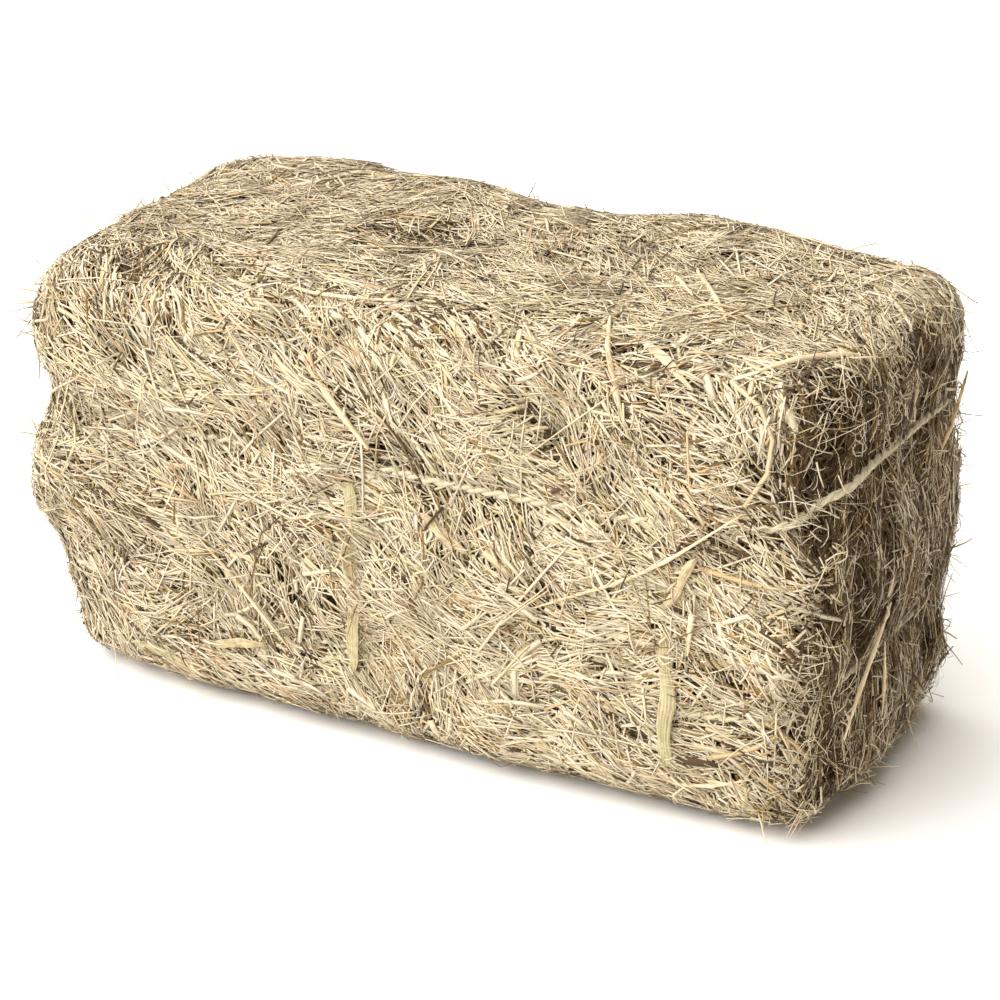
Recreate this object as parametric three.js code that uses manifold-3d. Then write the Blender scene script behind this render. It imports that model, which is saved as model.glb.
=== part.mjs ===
// A square bale of dry hay that stands on its narrow long side: the pressed hay, the two
// loops of sisal twine that hold it, and the long stems and leaf blades that lie on it.
// Millimetres, +Z up, +X along the bale, its broad front face towards -Y, its base at Z = 0.
import * as THREE from "three";
import { ImprovedNoise } from "three/addons/math/ImprovedNoise.js";
import { mergeVertices } from "three/addons/utils/BufferGeometryUtils.js";
import Module from "manifold-3d";

const wasm = await Module();
wasm.setup();

// The pressed hay, without what sticks out of it
const LENGTH = 902;
const DEPTH = 394;
const HEIGHT = 481;
const EDGE_RADIUS = 56;
const LENGTH_STEPS = 18;
const DEPTH_STEPS = 7;
const HEIGHT_STEPS = 15;

// The loose surface: lumps of two sizes, which die out towards the flat base
const LUMP_RISE = 9;
const LUMP_SPAN = 130;
const SMALL_LUMP_RISE = 5;
const SMALL_LUMP_SPAN = 58;
const BASE_FADE = 60;

// Broad swells and hollows, each with its middle, its reach along X, Y and Z, and its rise
const SWELLS = [
  { at: [-290, 190, 481], reach: [70, 120, 90], rise: 18 }, // hump on the far top edge, left
  { at: [-140, 190, 481], reach: [90, 120, 90], rise: 17 }, // hump beside it
  { at: [205, 190, 481], reach: [130, 120, 90], rise: 21 }, // hump on the far top edge, right
  { at: [0, 0, 481], reach: [300, 160, 60], rise: 9 }, // crown of the top
  { at: [60, -197, 210], reach: [260, 60, 80], rise: 6 }, // belly of the front
  { at: [451, 0, 260], reach: [60, 150, 70], rise: 9 }, // bulge of the right end
  { at: [-451, -80, 380], reach: [60, 130, 50], rise: 22 }, // bulge of the left end, above
  { at: [-451, -80, 180], reach: [60, 140, 75], rise: 22 }, // bulge of the left end, below
  { at: [-451, -100, 481], reach: [70, 160, 55], rise: -26 }, // worn top edge of the left end
  { at: [451, -197, 425], reach: [45, 45, 55], rise: -13 }, // hollow above the twine, near corner
  { at: [-451, -197, 0], reach: [120, 110, 85], rise: -52 }, // worn foot of the left near corner
  { at: [451, -197, 0], reach: [85, 85, 65], rise: -34 }, // worn foot of the right near corner
];

// The twine: two plies of sisal, laid round the bale and sunk into it as they pull it in
const TWINE_RADIUS = 4;
const TWINE_SIDES = 8;
const GROOVE_SIDES = 4;
const TWINE_STEP = 150;
const CORNER_ARC_POINTS = 2;
const GROOVE_REACH = 26;
const FACE_CUT = 3;
const END_CUT = 9;
const CORNER_CUT = 20;

// Heights of each loop round the bale, as places [x, y, z] on its sides
const UPPER_HEIGHTS = [
  [-440, -197, 303],
  [-228, -197, 303],
  [-110, -197, 307],
  [182, -197, 308],
  [291, -197, 314],
  [361, -197, 321],
  [425, -197, 336],
  [451, -165, 358],
  [451, -90, 367],
  [451, 150, 364],
  [380, 197, 352],
  [0, 197, 330],
  [-400, 197, 308],
  [-451, 0, 300],
];
const LOWER_HEIGHTS = [
  [-440, -197, 132],
  [-322, -197, 118],
  [-236, -197, 109],
  [130, -197, 104],
  [266, -197, 120],
  [410, -197, 133],
  [451, -160, 160],
  [451, -90, 163],
  [451, 150, 151],
  [380, 197, 144],
  [0, 197, 126],
  [-400, 197, 122],
  [-451, 0, 122],
];

// The knot of each loop, on the back near mid-length, with its two cut ends
const KNOT_RADII = [15, 7, 9];
const KNOT_SEGMENTS = [10, 6];
const KNOT_TAIL_LENGTH = 34;
const KNOT_TAIL_DROP = 16;
const KNOT_TAIL_LIFT = 6;

// Stalks fused to the hay that stand out of it
const STALKS = 52;
const STALK_SIDES = 3;
const STALK_LENGTHS = [60, 135];
const STALK_RADII = [2.2, 3.6];
const STALK_TIP_SHARE = 0.45;
const STALK_ROOT_DEPTH = 7;
const STALK_LIFTS = [8, 20];
const STALK_SEED = 36;

// Loose stems and blades: what lies on the hay stays clear of it by a hair
const CLEARANCE = 0.35;
const BLADE_THICKNESS = 2.2;
const STEM_SIDES = 5;
const BEND_STEP = 50;
const TIP_SHARE = 0.4;
const TIP_RUN = 0.33;
const BEDDING = 0.3;
const TWINE_BRIDGE = 7;
const BRIDGE_SPREAD = 2;
const FRONT = -DEPTH / 2;
const END = LENGTH / 2;

// Each loose piece: its form, its width and the places that it passes, from root to tip
const LOOSE_PIECES = [
  { name: "blade_tall_left", form: "blade", width: 10, via: [[-50, FRONT, 294], [-47, FRONT, 186], [-51, FRONT, 79]] },
  { name: "blade_tall_right", form: "blade", width: 13, via: [[291, FRONT, 212], [295, FRONT, 140], [292, FRONT, 60]] },
  { name: "stem_beside_tall_blade", form: "stem", width: 8, via: [[321, FRONT, 256], [317, FRONT, 190]] },
  { name: "fan_leaf", form: "blade", width: 17, via: [[322, FRONT, 292], [306, FRONT, 266], [289, FRONT, 232]] },
  { name: "stem_thick_upper_left", form: "stem", width: 9, via: [[-103, FRONT, 414], [-66, FRONT, 368], [-26, FRONT, 329]] },
  { name: "stem_thin_upper_left", form: "stem", width: 5, via: [[-239, -190, 478], [-196, FRONT, 430], [-152, FRONT, 368]] },
  { name: "stem_wavy_top_edge", form: "stem", width: 5, via: [[-150, -178, 481], [-80, -186, 476], [-8, -176, 481]] },
  { name: "stem_over_edge_right", form: "stem", width: 8, via: [[196, -138, 481], [222, -190, 455], [246, FRONT, 389]] },
  { name: "sheath_over_edge_right", form: "blade", width: 9, via: [[226, -146, 481], [268, -182, 476], [310, FRONT, 450]] },
  { name: "blade_pale_mid_edge", form: "blade", width: 8, via: [[44, -184, 481], [66, -195, 462], [90, FRONT, 430]] },
  { name: "blade_flat_middle", form: "blade", width: 12, via: [[27, FRONT, 276], [83, FRONT, 242]] },
  { name: "stem_sweep_right", form: "stem", width: 5, via: [[148, FRONT, 199], [265, FRONT, 262], [365, FRONT, 344]] },
  { name: "blade_pale_right", form: "blade", width: 10, via: [[418, FRONT, 204], [372, FRONT, 192], [331, FRONT, 186]] },
  { name: "blade_white_right", form: "blade", width: 7, via: [[220, FRONT, 190], [278, FRONT, 189]] },
  { name: "straw_folded", form: "stem", width: 5, via: [[272, FRONT, 72], [304, FRONT, 43], [384, FRONT, 72]] },
  { name: "stem_lower_left", form: "stem", width: 5, via: [[-234, FRONT, 195], [-180, FRONT, 150], [-124, FRONT, 94]] },
  { name: "leaf_wide_foot_left", form: "blade", width: 14, via: [[-330, FRONT, 46], [-285, FRONT, 40], [-239, FRONT, 34]] },
  { name: "leaf_brown_lower_left", form: "blade", width: 10, via: [[-231, FRONT, 72], [-152, FRONT, 92]] },
  { name: "stem_top_near", form: "stem", width: 7, via: [[187, 6, 481], [244, -58, 481]] },
  { name: "stem_top_right", form: "stem", width: 7, via: [[207, 24, 481], [252, -34, 481], [297, -98, 481]] },
  { name: "stem_top_edge_right", form: "stem", width: 8, via: [[362, -182, 478], [402, -136, 481], [434, -80, 474]] },
  { name: "leaf_curled_top_left", form: "blade", width: 8, via: [[-430, 132, 476], [-392, 160, 481], [-350, 140, 481]] },
  { name: "stem_end_long", form: "stem", width: 6, via: [[END, -48, 218], [END, -96, 160], [END, -140, 105]] },
  { name: "stem_end_upright", form: "stem", width: 5, via: [[END, -50, 176], [END, -48, 92]] },
  { name: "stem_end_dark", form: "stem", width: 6, via: [[END, 149, 388], [END, 67, 322]] },
];

const HAY = { color: "#c9b896", roughness: 0.9, metalness: 0 };
const TWINE = { color: "#cfc39c", roughness: 0.95, metalness: 0 };
const STEM = { color: "#d0ba8c", roughness: 0.75, metalness: 0 };
const BLADE = { color: "#c3b387", roughness: 0.8, metalness: 0 };

const core = new THREE.Vector3(LENGTH / 2, DEPTH / 2, HEIGHT / 2).subScalar(EDGE_RADIUS);
const middle = new THREE.Vector3(0, 0, HEIGHT / 2);
const noise = new ImprovedNoise();

// Seeded random numbers, so that the bale is the same each time
let seed = STALK_SEED;
function random() {
  seed = (seed + 0x6d2b79f5) | 0;
  let bits = Math.imul(seed ^ (seed >>> 15), 1 | seed);
  bits = (bits + Math.imul(bits ^ (bits >>> 7), 61 | bits)) ^ bits;
  return ((bits ^ (bits >>> 14)) >>> 0) / 4294967296;
}

function between([low, high]) {
  return low + (high - low) * random();
}

// The nearest place inside the block, an edge radius below its surface
function innerPlace(point) {
  return point.clone().sub(middle).clamp(core.clone().negate(), core).add(middle);
}

// The direction that points out of the block at a place on its surface
function outward(point) {
  return point.clone().sub(innerPlace(point)).normalize();
}

function noiseAt(point, span) {
  return noise.noise(point.x / span + 7.3, point.y / span + 2.9, point.z / span + 5.1);
}

// The height of a twine loop beside a place, between the two heights next to it
function loopHeight(heights, point) {
  const angleOf = (x, y) => Math.atan2(y / DEPTH, x / LENGTH);
  const stations = heights.map(([x, y, z]) => [angleOf(x, y), z]).sort((a, b) => a[0] - b[0]);
  const angle = angleOf(point.x, point.y);
  const after = stations.findIndex(([at]) => at > angle);
  const turn = 2 * Math.PI;
  const [next, last] = after > 0
    ? [stations[after], stations[after - 1]]
    : [stations[0], stations.at(-1)];
  const span = (next[0] - last[0] + turn) % turn;
  const share = ((angle - last[0] + turn) % turn) / span;
  return THREE.MathUtils.lerp(last[1], next[1], share);
}

// How far the twine pulls the hay in: little on the faces, more on the ends and corners
function cutDepth(out) {
  const cornerness = 2 * Math.abs(out.x * out.y);
  return FACE_CUT + (END_CUT - FACE_CUT) * out.x ** 2 + (CORNER_CUT - END_CUT) * cornerness;
}

// 1 on the line of a twine loop, and 0 well away from both
function twineNearness(point) {
  const nearness = [UPPER_HEIGHTS, LOWER_HEIGHTS].map((heights) =>
    Math.exp(-(((point.z - loopHeight(heights, point)) / GROOVE_REACH) ** 2)));
  return Math.max(...nearness);
}

// How far the hay stands out of the plain rounded block at a place
function rise(point, out) {
  let height = LUMP_RISE * noiseAt(point, LUMP_SPAN);
  height += SMALL_LUMP_RISE * noiseAt(point, SMALL_LUMP_SPAN);
  for (const { at, reach, rise: swell } of SWELLS) {
    const away = [0, 1, 2].reduce((sum, i) => sum + ((point.getComponent(i) - at[i]) / reach[i]) ** 2, 0);
    height += swell * Math.exp(-away);
  }
  const nearness = twineNearness(point) * (1 - out.z ** 2);
  height = THREE.MathUtils.lerp(height, -cutDepth(out), nearness);
  return out.z < 0 ? height * (1 + out.z) : height * Math.min(1, point.z / BASE_FADE);
}

// A place on the surface of the hay, from a place on the plain block
function onHay(point) {
  const inner = innerPlace(point);
  const out = outward(point);
  const plain = inner.clone().addScaledVector(out, EDGE_RADIUS);
  return plain.addScaledVector(out, rise(plain, out));
}

// A closed solid from a geometry, of which only the positions are kept
function solidFrom(geometry) {
  const bare = geometry.clone();
  bare.deleteAttribute("normal");
  bare.deleteAttribute("uv");
  const merged = mergeVertices(bare);
  return new wasm.Manifold(new wasm.Mesh({
    numProp: 3,
    vertProperties: new Float32Array(merged.attributes.position.array),
    triVerts: new Uint32Array(merged.index.array),
  }));
}

function geometryFrom(solid) {
  const { vertProperties, triVerts } = solid.getMesh();
  const geometry = new THREE.BufferGeometry();
  geometry.setAttribute("position", new THREE.BufferAttribute(vertProperties, 3));
  geometry.setIndex(new THREE.BufferAttribute(triVerts, 1));
  const flat = geometry.toNonIndexed();
  flat.computeVertexNormals();
  return flat;
}

function largestBody(solid) {
  return solid.decompose().reduce((best, body) => (body.volume() > best.volume() ? body : best));
}

// Lays a straight geometry, 1 long in Y, along stations that each have a place and an outward
// direction. Its X runs across, its Z stands out of the hay, and taper scales each ring.
function bend(geometry, stations, taper = () => 1) {
  const last = stations.length - 1;
  const position = geometry.attributes.position;
  const vertex = new THREE.Vector3();
  for (let i = 0; i < position.count; i += 1) {
    vertex.fromBufferAttribute(position, i);
    const ring = Math.round((vertex.y + 0.5) * last);
    const { place, out } = stations[ring];
    const before = stations[Math.max(0, ring - 1)].place;
    const after = stations[Math.min(last, ring + 1)].place;
    const along = after.clone().sub(before).normalize();
    const across = along.clone().cross(out).normalize();
    const up = across.clone().cross(along);
    const size = taper(ring / last);
    const bent = place.clone();
    bent.addScaledVector(across, vertex.x * size).addScaledVector(up, vertex.z * size);
    position.setXYZ(i, bent.x, bent.y, bent.z);
  }
  return geometry;
}

function round(radius, sides, stations, taper) {
  const rod = new THREE.CylinderGeometry(radius, radius, 1, sides, stations.length - 1);
  return bend(rod, stations, taper);
}

function flat(width, thickness, stations, taper) {
  const strip = new THREE.BoxGeometry(width, 1, thickness, 1, stations.length - 1, 1);
  return bend(strip, stations, taper);
}

// The block of hay: a fine box, with each of its points put on the rounded, lumpy surface
function blockOfHay() {
  const box = new THREE.BoxGeometry(LENGTH, DEPTH, HEIGHT, LENGTH_STEPS, DEPTH_STEPS, HEIGHT_STEPS);
  box.translate(0, 0, HEIGHT / 2);
  const position = box.attributes.position;
  const vertex = new THREE.Vector3();
  for (let i = 0; i < position.count; i += 1) {
    const moved = onHay(vertex.fromBufferAttribute(position, i));
    position.setXYZ(i, moved.x, moved.y, moved.z);
  }
  return solidFrom(box);
}

// The stations of a stray stalk: its root is sunk in the hay and its tip stands off it
function stalkStations(root, heading, length, lift) {
  const shares = [0, 0.5, 1];
  const depths = [-STALK_ROOT_DEPTH, 0, lift];
  return shares.map((share, i) => {
    const flatPlace = root.clone().addScaledVector(heading, length * share);
    const out = outward(flatPlace);
    const place = onHay(flatPlace).addScaledVector(out, depths[i]);
    place.z = Math.max(place.z, STALK_RADII[1]);
    return { place, out };
  });
}

// Stray stalks all round, most of them near an edge of the block, where hay works loose
function strayStalks() {
  const stalks = [];
  while (stalks.length < STALKS) {
    const root = new THREE.Vector3(random() - 0.5, random() - 0.5, random() - 0.5);
    const axis = ["x", "y", "z"][Math.floor(random() * 3)];
    root[axis] = Math.sign(root[axis]) / 2;
    root.multiply(new THREE.Vector3(LENGTH, DEPTH, HEIGHT)).add(middle);
    const out = outward(root);
    const heading = new THREE.Vector3(random() - 0.5, random() - 0.5, random() - 0.5);
    heading.addScaledVector(out, -heading.dot(out)).normalize();
    const stations = stalkStations(root, heading, between(STALK_LENGTHS), between(STALK_LIFTS));
    if (out.z > -0.5) {
      const taper = (share) => THREE.MathUtils.lerp(1, STALK_TIP_SHARE, share);
      stalks.push(solidFrom(round(between(STALK_RADII), STALK_SIDES, stations, taper)));
    }
  }
  return stalks;
}

// The outline of a loop seen from above, from one side of its knot round to the other
function loopOutline() {
  const outline = new THREE.Path();
  const [x, y] = [core.x, core.y];
  const quarter = Math.PI / 2;
  outline.moveTo(-KNOT_RADII[0] / 2, DEPTH / 2);
  outline.lineTo(-x, DEPTH / 2);
  outline.absarc(-x, y, EDGE_RADIUS, quarter, 2 * quarter);
  outline.absarc(-x, -y, EDGE_RADIUS, 2 * quarter, 3 * quarter);
  outline.absarc(x, -y, EDGE_RADIUS, 3 * quarter, 4 * quarter);
  outline.absarc(x, y, EDGE_RADIUS, 0, quarter);
  outline.lineTo(KNOT_RADII[0] / 2, DEPTH / 2);
  const corners = outline.getPoints(CORNER_ARC_POINTS);
  const points = [corners[0]];
  for (const corner of corners.slice(1)) {
    const from = points.at(-1);
    const steps = Math.ceil(from.distanceTo(corner) / TWINE_STEP);
    for (let step = 1; step <= steps; step += 1) {
      points.push(from.clone().lerp(corner, step / steps));
    }
  }
  return points;
}

function loopStations(heights) {
  return loopOutline().map(({ x, y }) => {
    const place = new THREE.Vector3(x, y, 0);
    place.z = loopHeight(heights, place);
    const out = outward(place);
    place.addScaledVector(out, -cutDepth(out));
    return { place, out };
  });
}

// A cut end of twine that runs out of the knot along the back and droops
function tailStations(knot, side) {
  const out = new THREE.Vector3(0, 1, 0);
  return [0, 0.5, 1].map((share) => {
    const place = knot.clone();
    place.x += side * KNOT_TAIL_LENGTH * share;
    place.y += KNOT_TAIL_LIFT * share;
    place.z -= KNOT_TAIL_DROP * share ** 2;
    return { place, out };
  });
}

function twineLoop(heights, sides, radius, extra) {
  const stations = loopStations(heights);
  const knotPlace = stations[0].place.clone().lerp(stations.at(-1).place, 0.5);
  const knot = new THREE.SphereGeometry(1, ...KNOT_SEGMENTS);
  knot.scale(...KNOT_RADII.map((size) => size + extra));
  knot.translate(knotPlace.x, knotPlace.y + KNOT_RADII[1] / 2, knotPlace.z);
  let solid = solidFrom(round(radius, sides, stations)).add(solidFrom(knot));
  for (const side of [-1, 1]) {
    const start = knotPlace.clone().add(new THREE.Vector3(0, KNOT_RADII[1], 0));
    solid = solid.add(solidFrom(round(radius, sides, tailStations(start, side))));
  }
  return solid;
}

// The stations of a loose piece: its route, dropped onto the hay all the way along
function looseStations({ via, form, width }, hay) {
  const route = new THREE.CatmullRomCurve3(via.map((place) => new THREE.Vector3(...place)));
  const steps = Math.max(2, Math.ceil(route.getLength() / BEND_STEP));
  const thickness = form === "stem" ? width : BLADE_THICKNESS;
  const ray = new THREE.Raycaster();
  return route.getSpacedPoints(steps).map((point) => {
    const out = outward(point);
    const start = innerPlace(point).addScaledVector(out, 2 * EDGE_RADIUS);
    ray.set(start, out.clone().negate());
    const [hit] = ray.intersectObject(hay);
    const bridge = TWINE_BRIDGE * Math.min(1, BRIDGE_SPREAD * twineNearness(hit.point));
    const lift = thickness * (0.5 - BEDDING) + bridge;
    return { place: hit.point.clone().addScaledVector(out, lift), out };
  });
}

// A loose piece is full in its middle and narrows towards both tips
function looseTaper(share) {
  return Math.min(1, TIP_SHARE + (1 - TIP_SHARE) * Math.min(share, 1 - share) / TIP_RUN);
}

function loosePiece({ form, width }, stations) {
  return solidFrom(form === "stem"
    ? round(width / 2, STEM_SIDES, stations, looseTaper)
    : flat(width, BLADE_THICKNESS, stations, looseTaper));
}

// The bed of a loose piece: a square channel that clears it on all sides
function looseBed({ form, width }, stations) {
  const thickness = form === "stem" ? width : BLADE_THICKNESS;
  const gap = 2 * CLEARANCE / TIP_SHARE;
  return solidFrom(flat(width + gap, thickness + gap, stations, looseTaper));
}

function meshOf(name, geometry, finish) {
  const mesh = new THREE.Mesh(geometry, new THREE.MeshStandardMaterial(finish));
  mesh.name = name;
  return mesh;
}

const bale = new THREE.Group();
const loops = { twine_upper: UPPER_HEIGHTS, twine_lower: LOWER_HEIGHTS };
const block = blockOfHay();
const blockMesh = meshOf("block", geometryFrom(block), { ...HAY, side: THREE.DoubleSide });

let hay = block;
for (const stalk of strayStalks()) hay = hay.add(stalk);

for (const [name, heights] of Object.entries(loops)) {
  const grooveRadius = (TWINE_RADIUS + 2 * CLEARANCE) * Math.SQRT2;
  hay = hay.subtract(twineLoop(heights, GROOVE_SIDES, grooveRadius, CLEARANCE));
  bale.add(meshOf(name, geometryFrom(twineLoop(heights, TWINE_SIDES, TWINE_RADIUS, 0)), TWINE));
}

for (const piece of LOOSE_PIECES) {
  const stations = looseStations(piece, blockMesh);
  hay = hay.subtract(looseBed(piece, stations));
  const finish = piece.form === "stem" ? STEM : BLADE;
  bale.add(meshOf(piece.name, geometryFrom(loosePiece(piece, stations)), finish));
}

bale.add(meshOf("packed_hay", geometryFrom(largestBody(hay)), HAY));

// The origin is the middle of the whole bale's base
const size = new THREE.Box3().setFromObject(bale, true);
const centre = size.getCenter(new THREE.Vector3());
bale.position.set(-centre.x, -centre.y, -size.min.z);

export default bale;
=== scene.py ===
"""A square bale of dry hay, standing on its narrow long side and tied with sisal twine.

It is laid out as a Blender add-on and run as a script: each operator makes one part of the
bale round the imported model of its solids, and the last one makes the floor, light and camera.
"""
import math

import bmesh
import bpy
import numpy as np
from mathutils import Matrix, Vector, noise
from mathutils.bvhtree import BVHTree


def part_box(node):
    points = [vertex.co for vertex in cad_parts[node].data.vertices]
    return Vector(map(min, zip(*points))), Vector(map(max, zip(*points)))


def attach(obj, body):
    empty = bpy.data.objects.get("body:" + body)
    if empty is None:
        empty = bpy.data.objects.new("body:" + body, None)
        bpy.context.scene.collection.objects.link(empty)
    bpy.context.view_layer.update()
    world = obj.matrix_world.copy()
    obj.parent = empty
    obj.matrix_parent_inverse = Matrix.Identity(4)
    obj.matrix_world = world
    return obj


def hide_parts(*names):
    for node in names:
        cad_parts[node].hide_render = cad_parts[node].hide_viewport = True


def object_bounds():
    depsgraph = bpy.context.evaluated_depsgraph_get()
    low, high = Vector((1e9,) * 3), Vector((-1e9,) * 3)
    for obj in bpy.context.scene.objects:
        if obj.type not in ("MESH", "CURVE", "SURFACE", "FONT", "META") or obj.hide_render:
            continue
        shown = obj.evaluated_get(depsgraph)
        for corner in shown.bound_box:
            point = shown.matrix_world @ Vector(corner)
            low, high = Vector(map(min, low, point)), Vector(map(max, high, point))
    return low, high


bl_info = {
    "name": "Hay Bale",
    "version": (1, 0, 0),
    "blender": (4, 5, 0),
    "location": "View3D > Sidebar > Hay Bale",
    "description": "Dresses the solids of a square hay bale with stalks, twine and leaf blades",
    "category": "Add Mesh",
}

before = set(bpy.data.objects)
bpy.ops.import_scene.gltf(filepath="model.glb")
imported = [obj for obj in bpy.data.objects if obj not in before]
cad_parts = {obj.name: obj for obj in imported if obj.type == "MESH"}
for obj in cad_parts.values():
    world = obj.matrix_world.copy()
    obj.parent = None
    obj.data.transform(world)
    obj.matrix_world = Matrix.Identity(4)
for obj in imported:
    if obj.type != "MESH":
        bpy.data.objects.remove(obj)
CAD_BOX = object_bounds()

BODY = "root"
HAY_NODE = "packed_hay"
TWINE_NODES = ("twine_upper", "twine_lower")
STEM_NODES = tuple(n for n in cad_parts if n.startswith(("stem_", "straw_")))
BLADE_NODES = tuple(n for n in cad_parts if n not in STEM_NODES + TWINE_NODES + (HAY_NODE,))
STALK_MAP = "OFBake"


def linear(code):
    """A colour in sRGB hex as linear red, green and blue."""
    parts = [int(code[i:i + 2], 16) / 255 for i in (1, 3, 5)]
    return tuple(c / 12.92 if c <= 0.04045 else ((c + 0.055) / 1.055) ** 2.4 for c in parts)


def size_property(name, description, default):
    return bpy.props.FloatProperty(name=name, description=description, default=default,
                                   min=0.0, unit="LENGTH", precision=4)


def colour_property(name, description, code):
    return bpy.props.FloatVectorProperty(name=name, description=description, size=3,
                                         default=linear(code), min=0.0, max=1.0, subtype="COLOR")


class HAYBALE_PG_sizes(bpy.types.PropertyGroup):
    """Sizes of the stalks, the twine and the loose surface."""

    core_voxel: size_property("Core voxel", "Grain of the dark hay under the stalks", 0.009)
    core_depth: size_property("Core depth", "How far the dark hay lies under the solid", 0.009)
    tuft_rise: size_property("Tuft rise", "Height of the tufts that the stalks lie in", 0.0045)
    tuft_span: size_property("Tuft span", "Distance from one tuft to the next", 0.045)
    pocket_depth: size_property("Pocket depth", "Depth of the dark pockets between tufts", 0.013)
    stalk_width: size_property("Stalk width", "Width of a common stalk", 0.00185)
    stalk_length: size_property("Stalk length", "Length of a common stalk", 0.044)
    swath_span: size_property("Swath span", "How far stalks lie the same way", 0.11)
    stray_reach: size_property("Stray reach", "How far stray stalks stand out", 0.026)
    twine_radius: size_property("Twine radius", "Radius of the two-ply twine", 0.0044)
    twine_lay: size_property("Twine lay", "Length of one turn of the plies", 0.034)
    fuzz_length: size_property("Fuzz length", "Length of the loose fibres on the twine", 0.008)
    seed: bpy.props.IntProperty(name="Seed", description="Start of the random numbers", default=14)


class HAYBALE_PG_colours(bpy.types.PropertyGroup):
    """Colours of the hay, the twine and the floor."""

    white_straw: colour_property("Bleached straw", "Palest, sun-bleached stalks", "#dccfb9")
    cream_straw: colour_property("Cream straw", "Pale cream stalks", "#dbccae")
    pale_straw: colour_property("Pale straw", "The most common stalks", "#d9c8a8")
    straw: colour_property("Straw", "Yellowish stalks", "#d2bd96")
    green_straw: colour_property("Green straw", "Stalks that dried dusty green", "#c8ba8f")
    grey_straw: colour_property("Grey straw", "Weathered stalks", "#cfc2a6")
    tan_straw: colour_property("Tan straw", "Tan stalks", "#c8aa7c")
    orange_straw: colour_property("Orange straw", "Rusty stalks and sheaths", "#c9a377")
    # Brown, dark and deep straw and the two core colours mostly stand for painted shade under and between
    # the stalks; brown and dark straw are also the own colour of a few stalks and stems
    brown_straw: colour_property("Brown straw", "Brown stalks and seed heads", "#735629")
    dark_straw: colour_property("Dark straw", "Dark stalks deep in the hay", "#4a3412")
    deep_straw: colour_property("Deep straw", "Shaded khaki stalks under the others", "#85692f")
    core_dark: colour_property("Core shadow", "Darkest fibres under the stalks", "#2c1d09")
    core_light: colour_property("Core fibres", "Lighter fibres under the stalks", "#6a5026")
    olive_leaf: colour_property("Olive leaf", "Leaf blades that dried khaki", "#b9ae86")
    dull_leaf: colour_property("Dull leaf", "Weathered, pale brown leaf blades", "#cbb791")
    leaf_vein: colour_property("Leaf vein", "Between the ribs of a leaf blade", "#8d7c53")
    sisal: colour_property("Sisal", "Pale sisal twine", "#d0c4a5")
    sisal_shade: colour_property("Sisal shade", "Between the fibres of the twine", "#a89b7b")
    floor: colour_property("Floor", "Plain pale floor", "#f4f3f1")


# What each kind of stalk is: how common it is among the stalks of the outer layers
STALK_SHARES = (
    ("white_straw", 0.035), ("cream_straw", 0.22), ("pale_straw", 0.35), ("straw", 0.17),
    ("green_straw", 0.08), ("grey_straw", 0.05), ("tan_straw", 0.04), ("orange_straw", 0.01),
    ("deep_straw", 0.02), ("brown_straw", 0.015), ("dark_straw", 0.004),
)
STALK_COLUMNS = 96

# Each side of the bale: the way that faces out, the way that stalks' angles start from, the
# usual angle, how much whole swaths turn, how much single stalks turn, the stalks on a square
# metre in thousands, and how wide the stalks are beside a common one
SIDES = {
    "front": ((0, -1, 0), (1, 0, 0), -36, 34, 11, 58, 1.03),
    "back": ((0, 1, 0), (1, 0, 0), 35, 50, 15, 30, 1.3),
    "top": ((0, 0, 1), (1, 0, 0), -4, 40, 22, 48, 1.02),
    "underside": ((0, 0, -1), (1, 0, 0), 0, 45, 20, 12, 1.8),
    "right_end": ((1, 0, 0), (0, 1, 0), 92, 20, 13, 68, 0.74),
    "left_end": ((-1, 0, 0), (0, 1, 0), 58, 50, 22, 42, 1.0),
}

# Heights of the twine round the bale, as places (x, y, z) on its sides, in millimetres,
# measured from the middle of the plain block's base
UPPER_HEIGHTS = (
    (-440, -197, 303), (-228, -197, 303), (-110, -197, 307), (182, -197, 308), (291, -197, 314),
    (361, -197, 321), (425, -197, 336), (451, -165, 358), (451, -90, 367), (451, 150, 364),
    (380, 197, 352), (0, 197, 330), (-400, 197, 308), (-451, 0, 300),
)
LOWER_HEIGHTS = (
    (-440, -197, 132), (-322, -197, 118), (-236, -197, 109), (130, -197, 104), (266, -197, 120),
    (410, -197, 133), (451, -160, 160), (451, -90, 163), (451, 150, 151), (380, 197, 144),
    (0, 197, 126), (-400, 197, 122), (-451, 0, 122),
)
BLOCK_LENGTH, BLOCK_DEPTH, BLOCK_EDGE = 0.902, 0.394, 0.056
FACE_CUT, END_CUT, CORNER_CUT = 0.003, 0.009, 0.020
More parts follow.
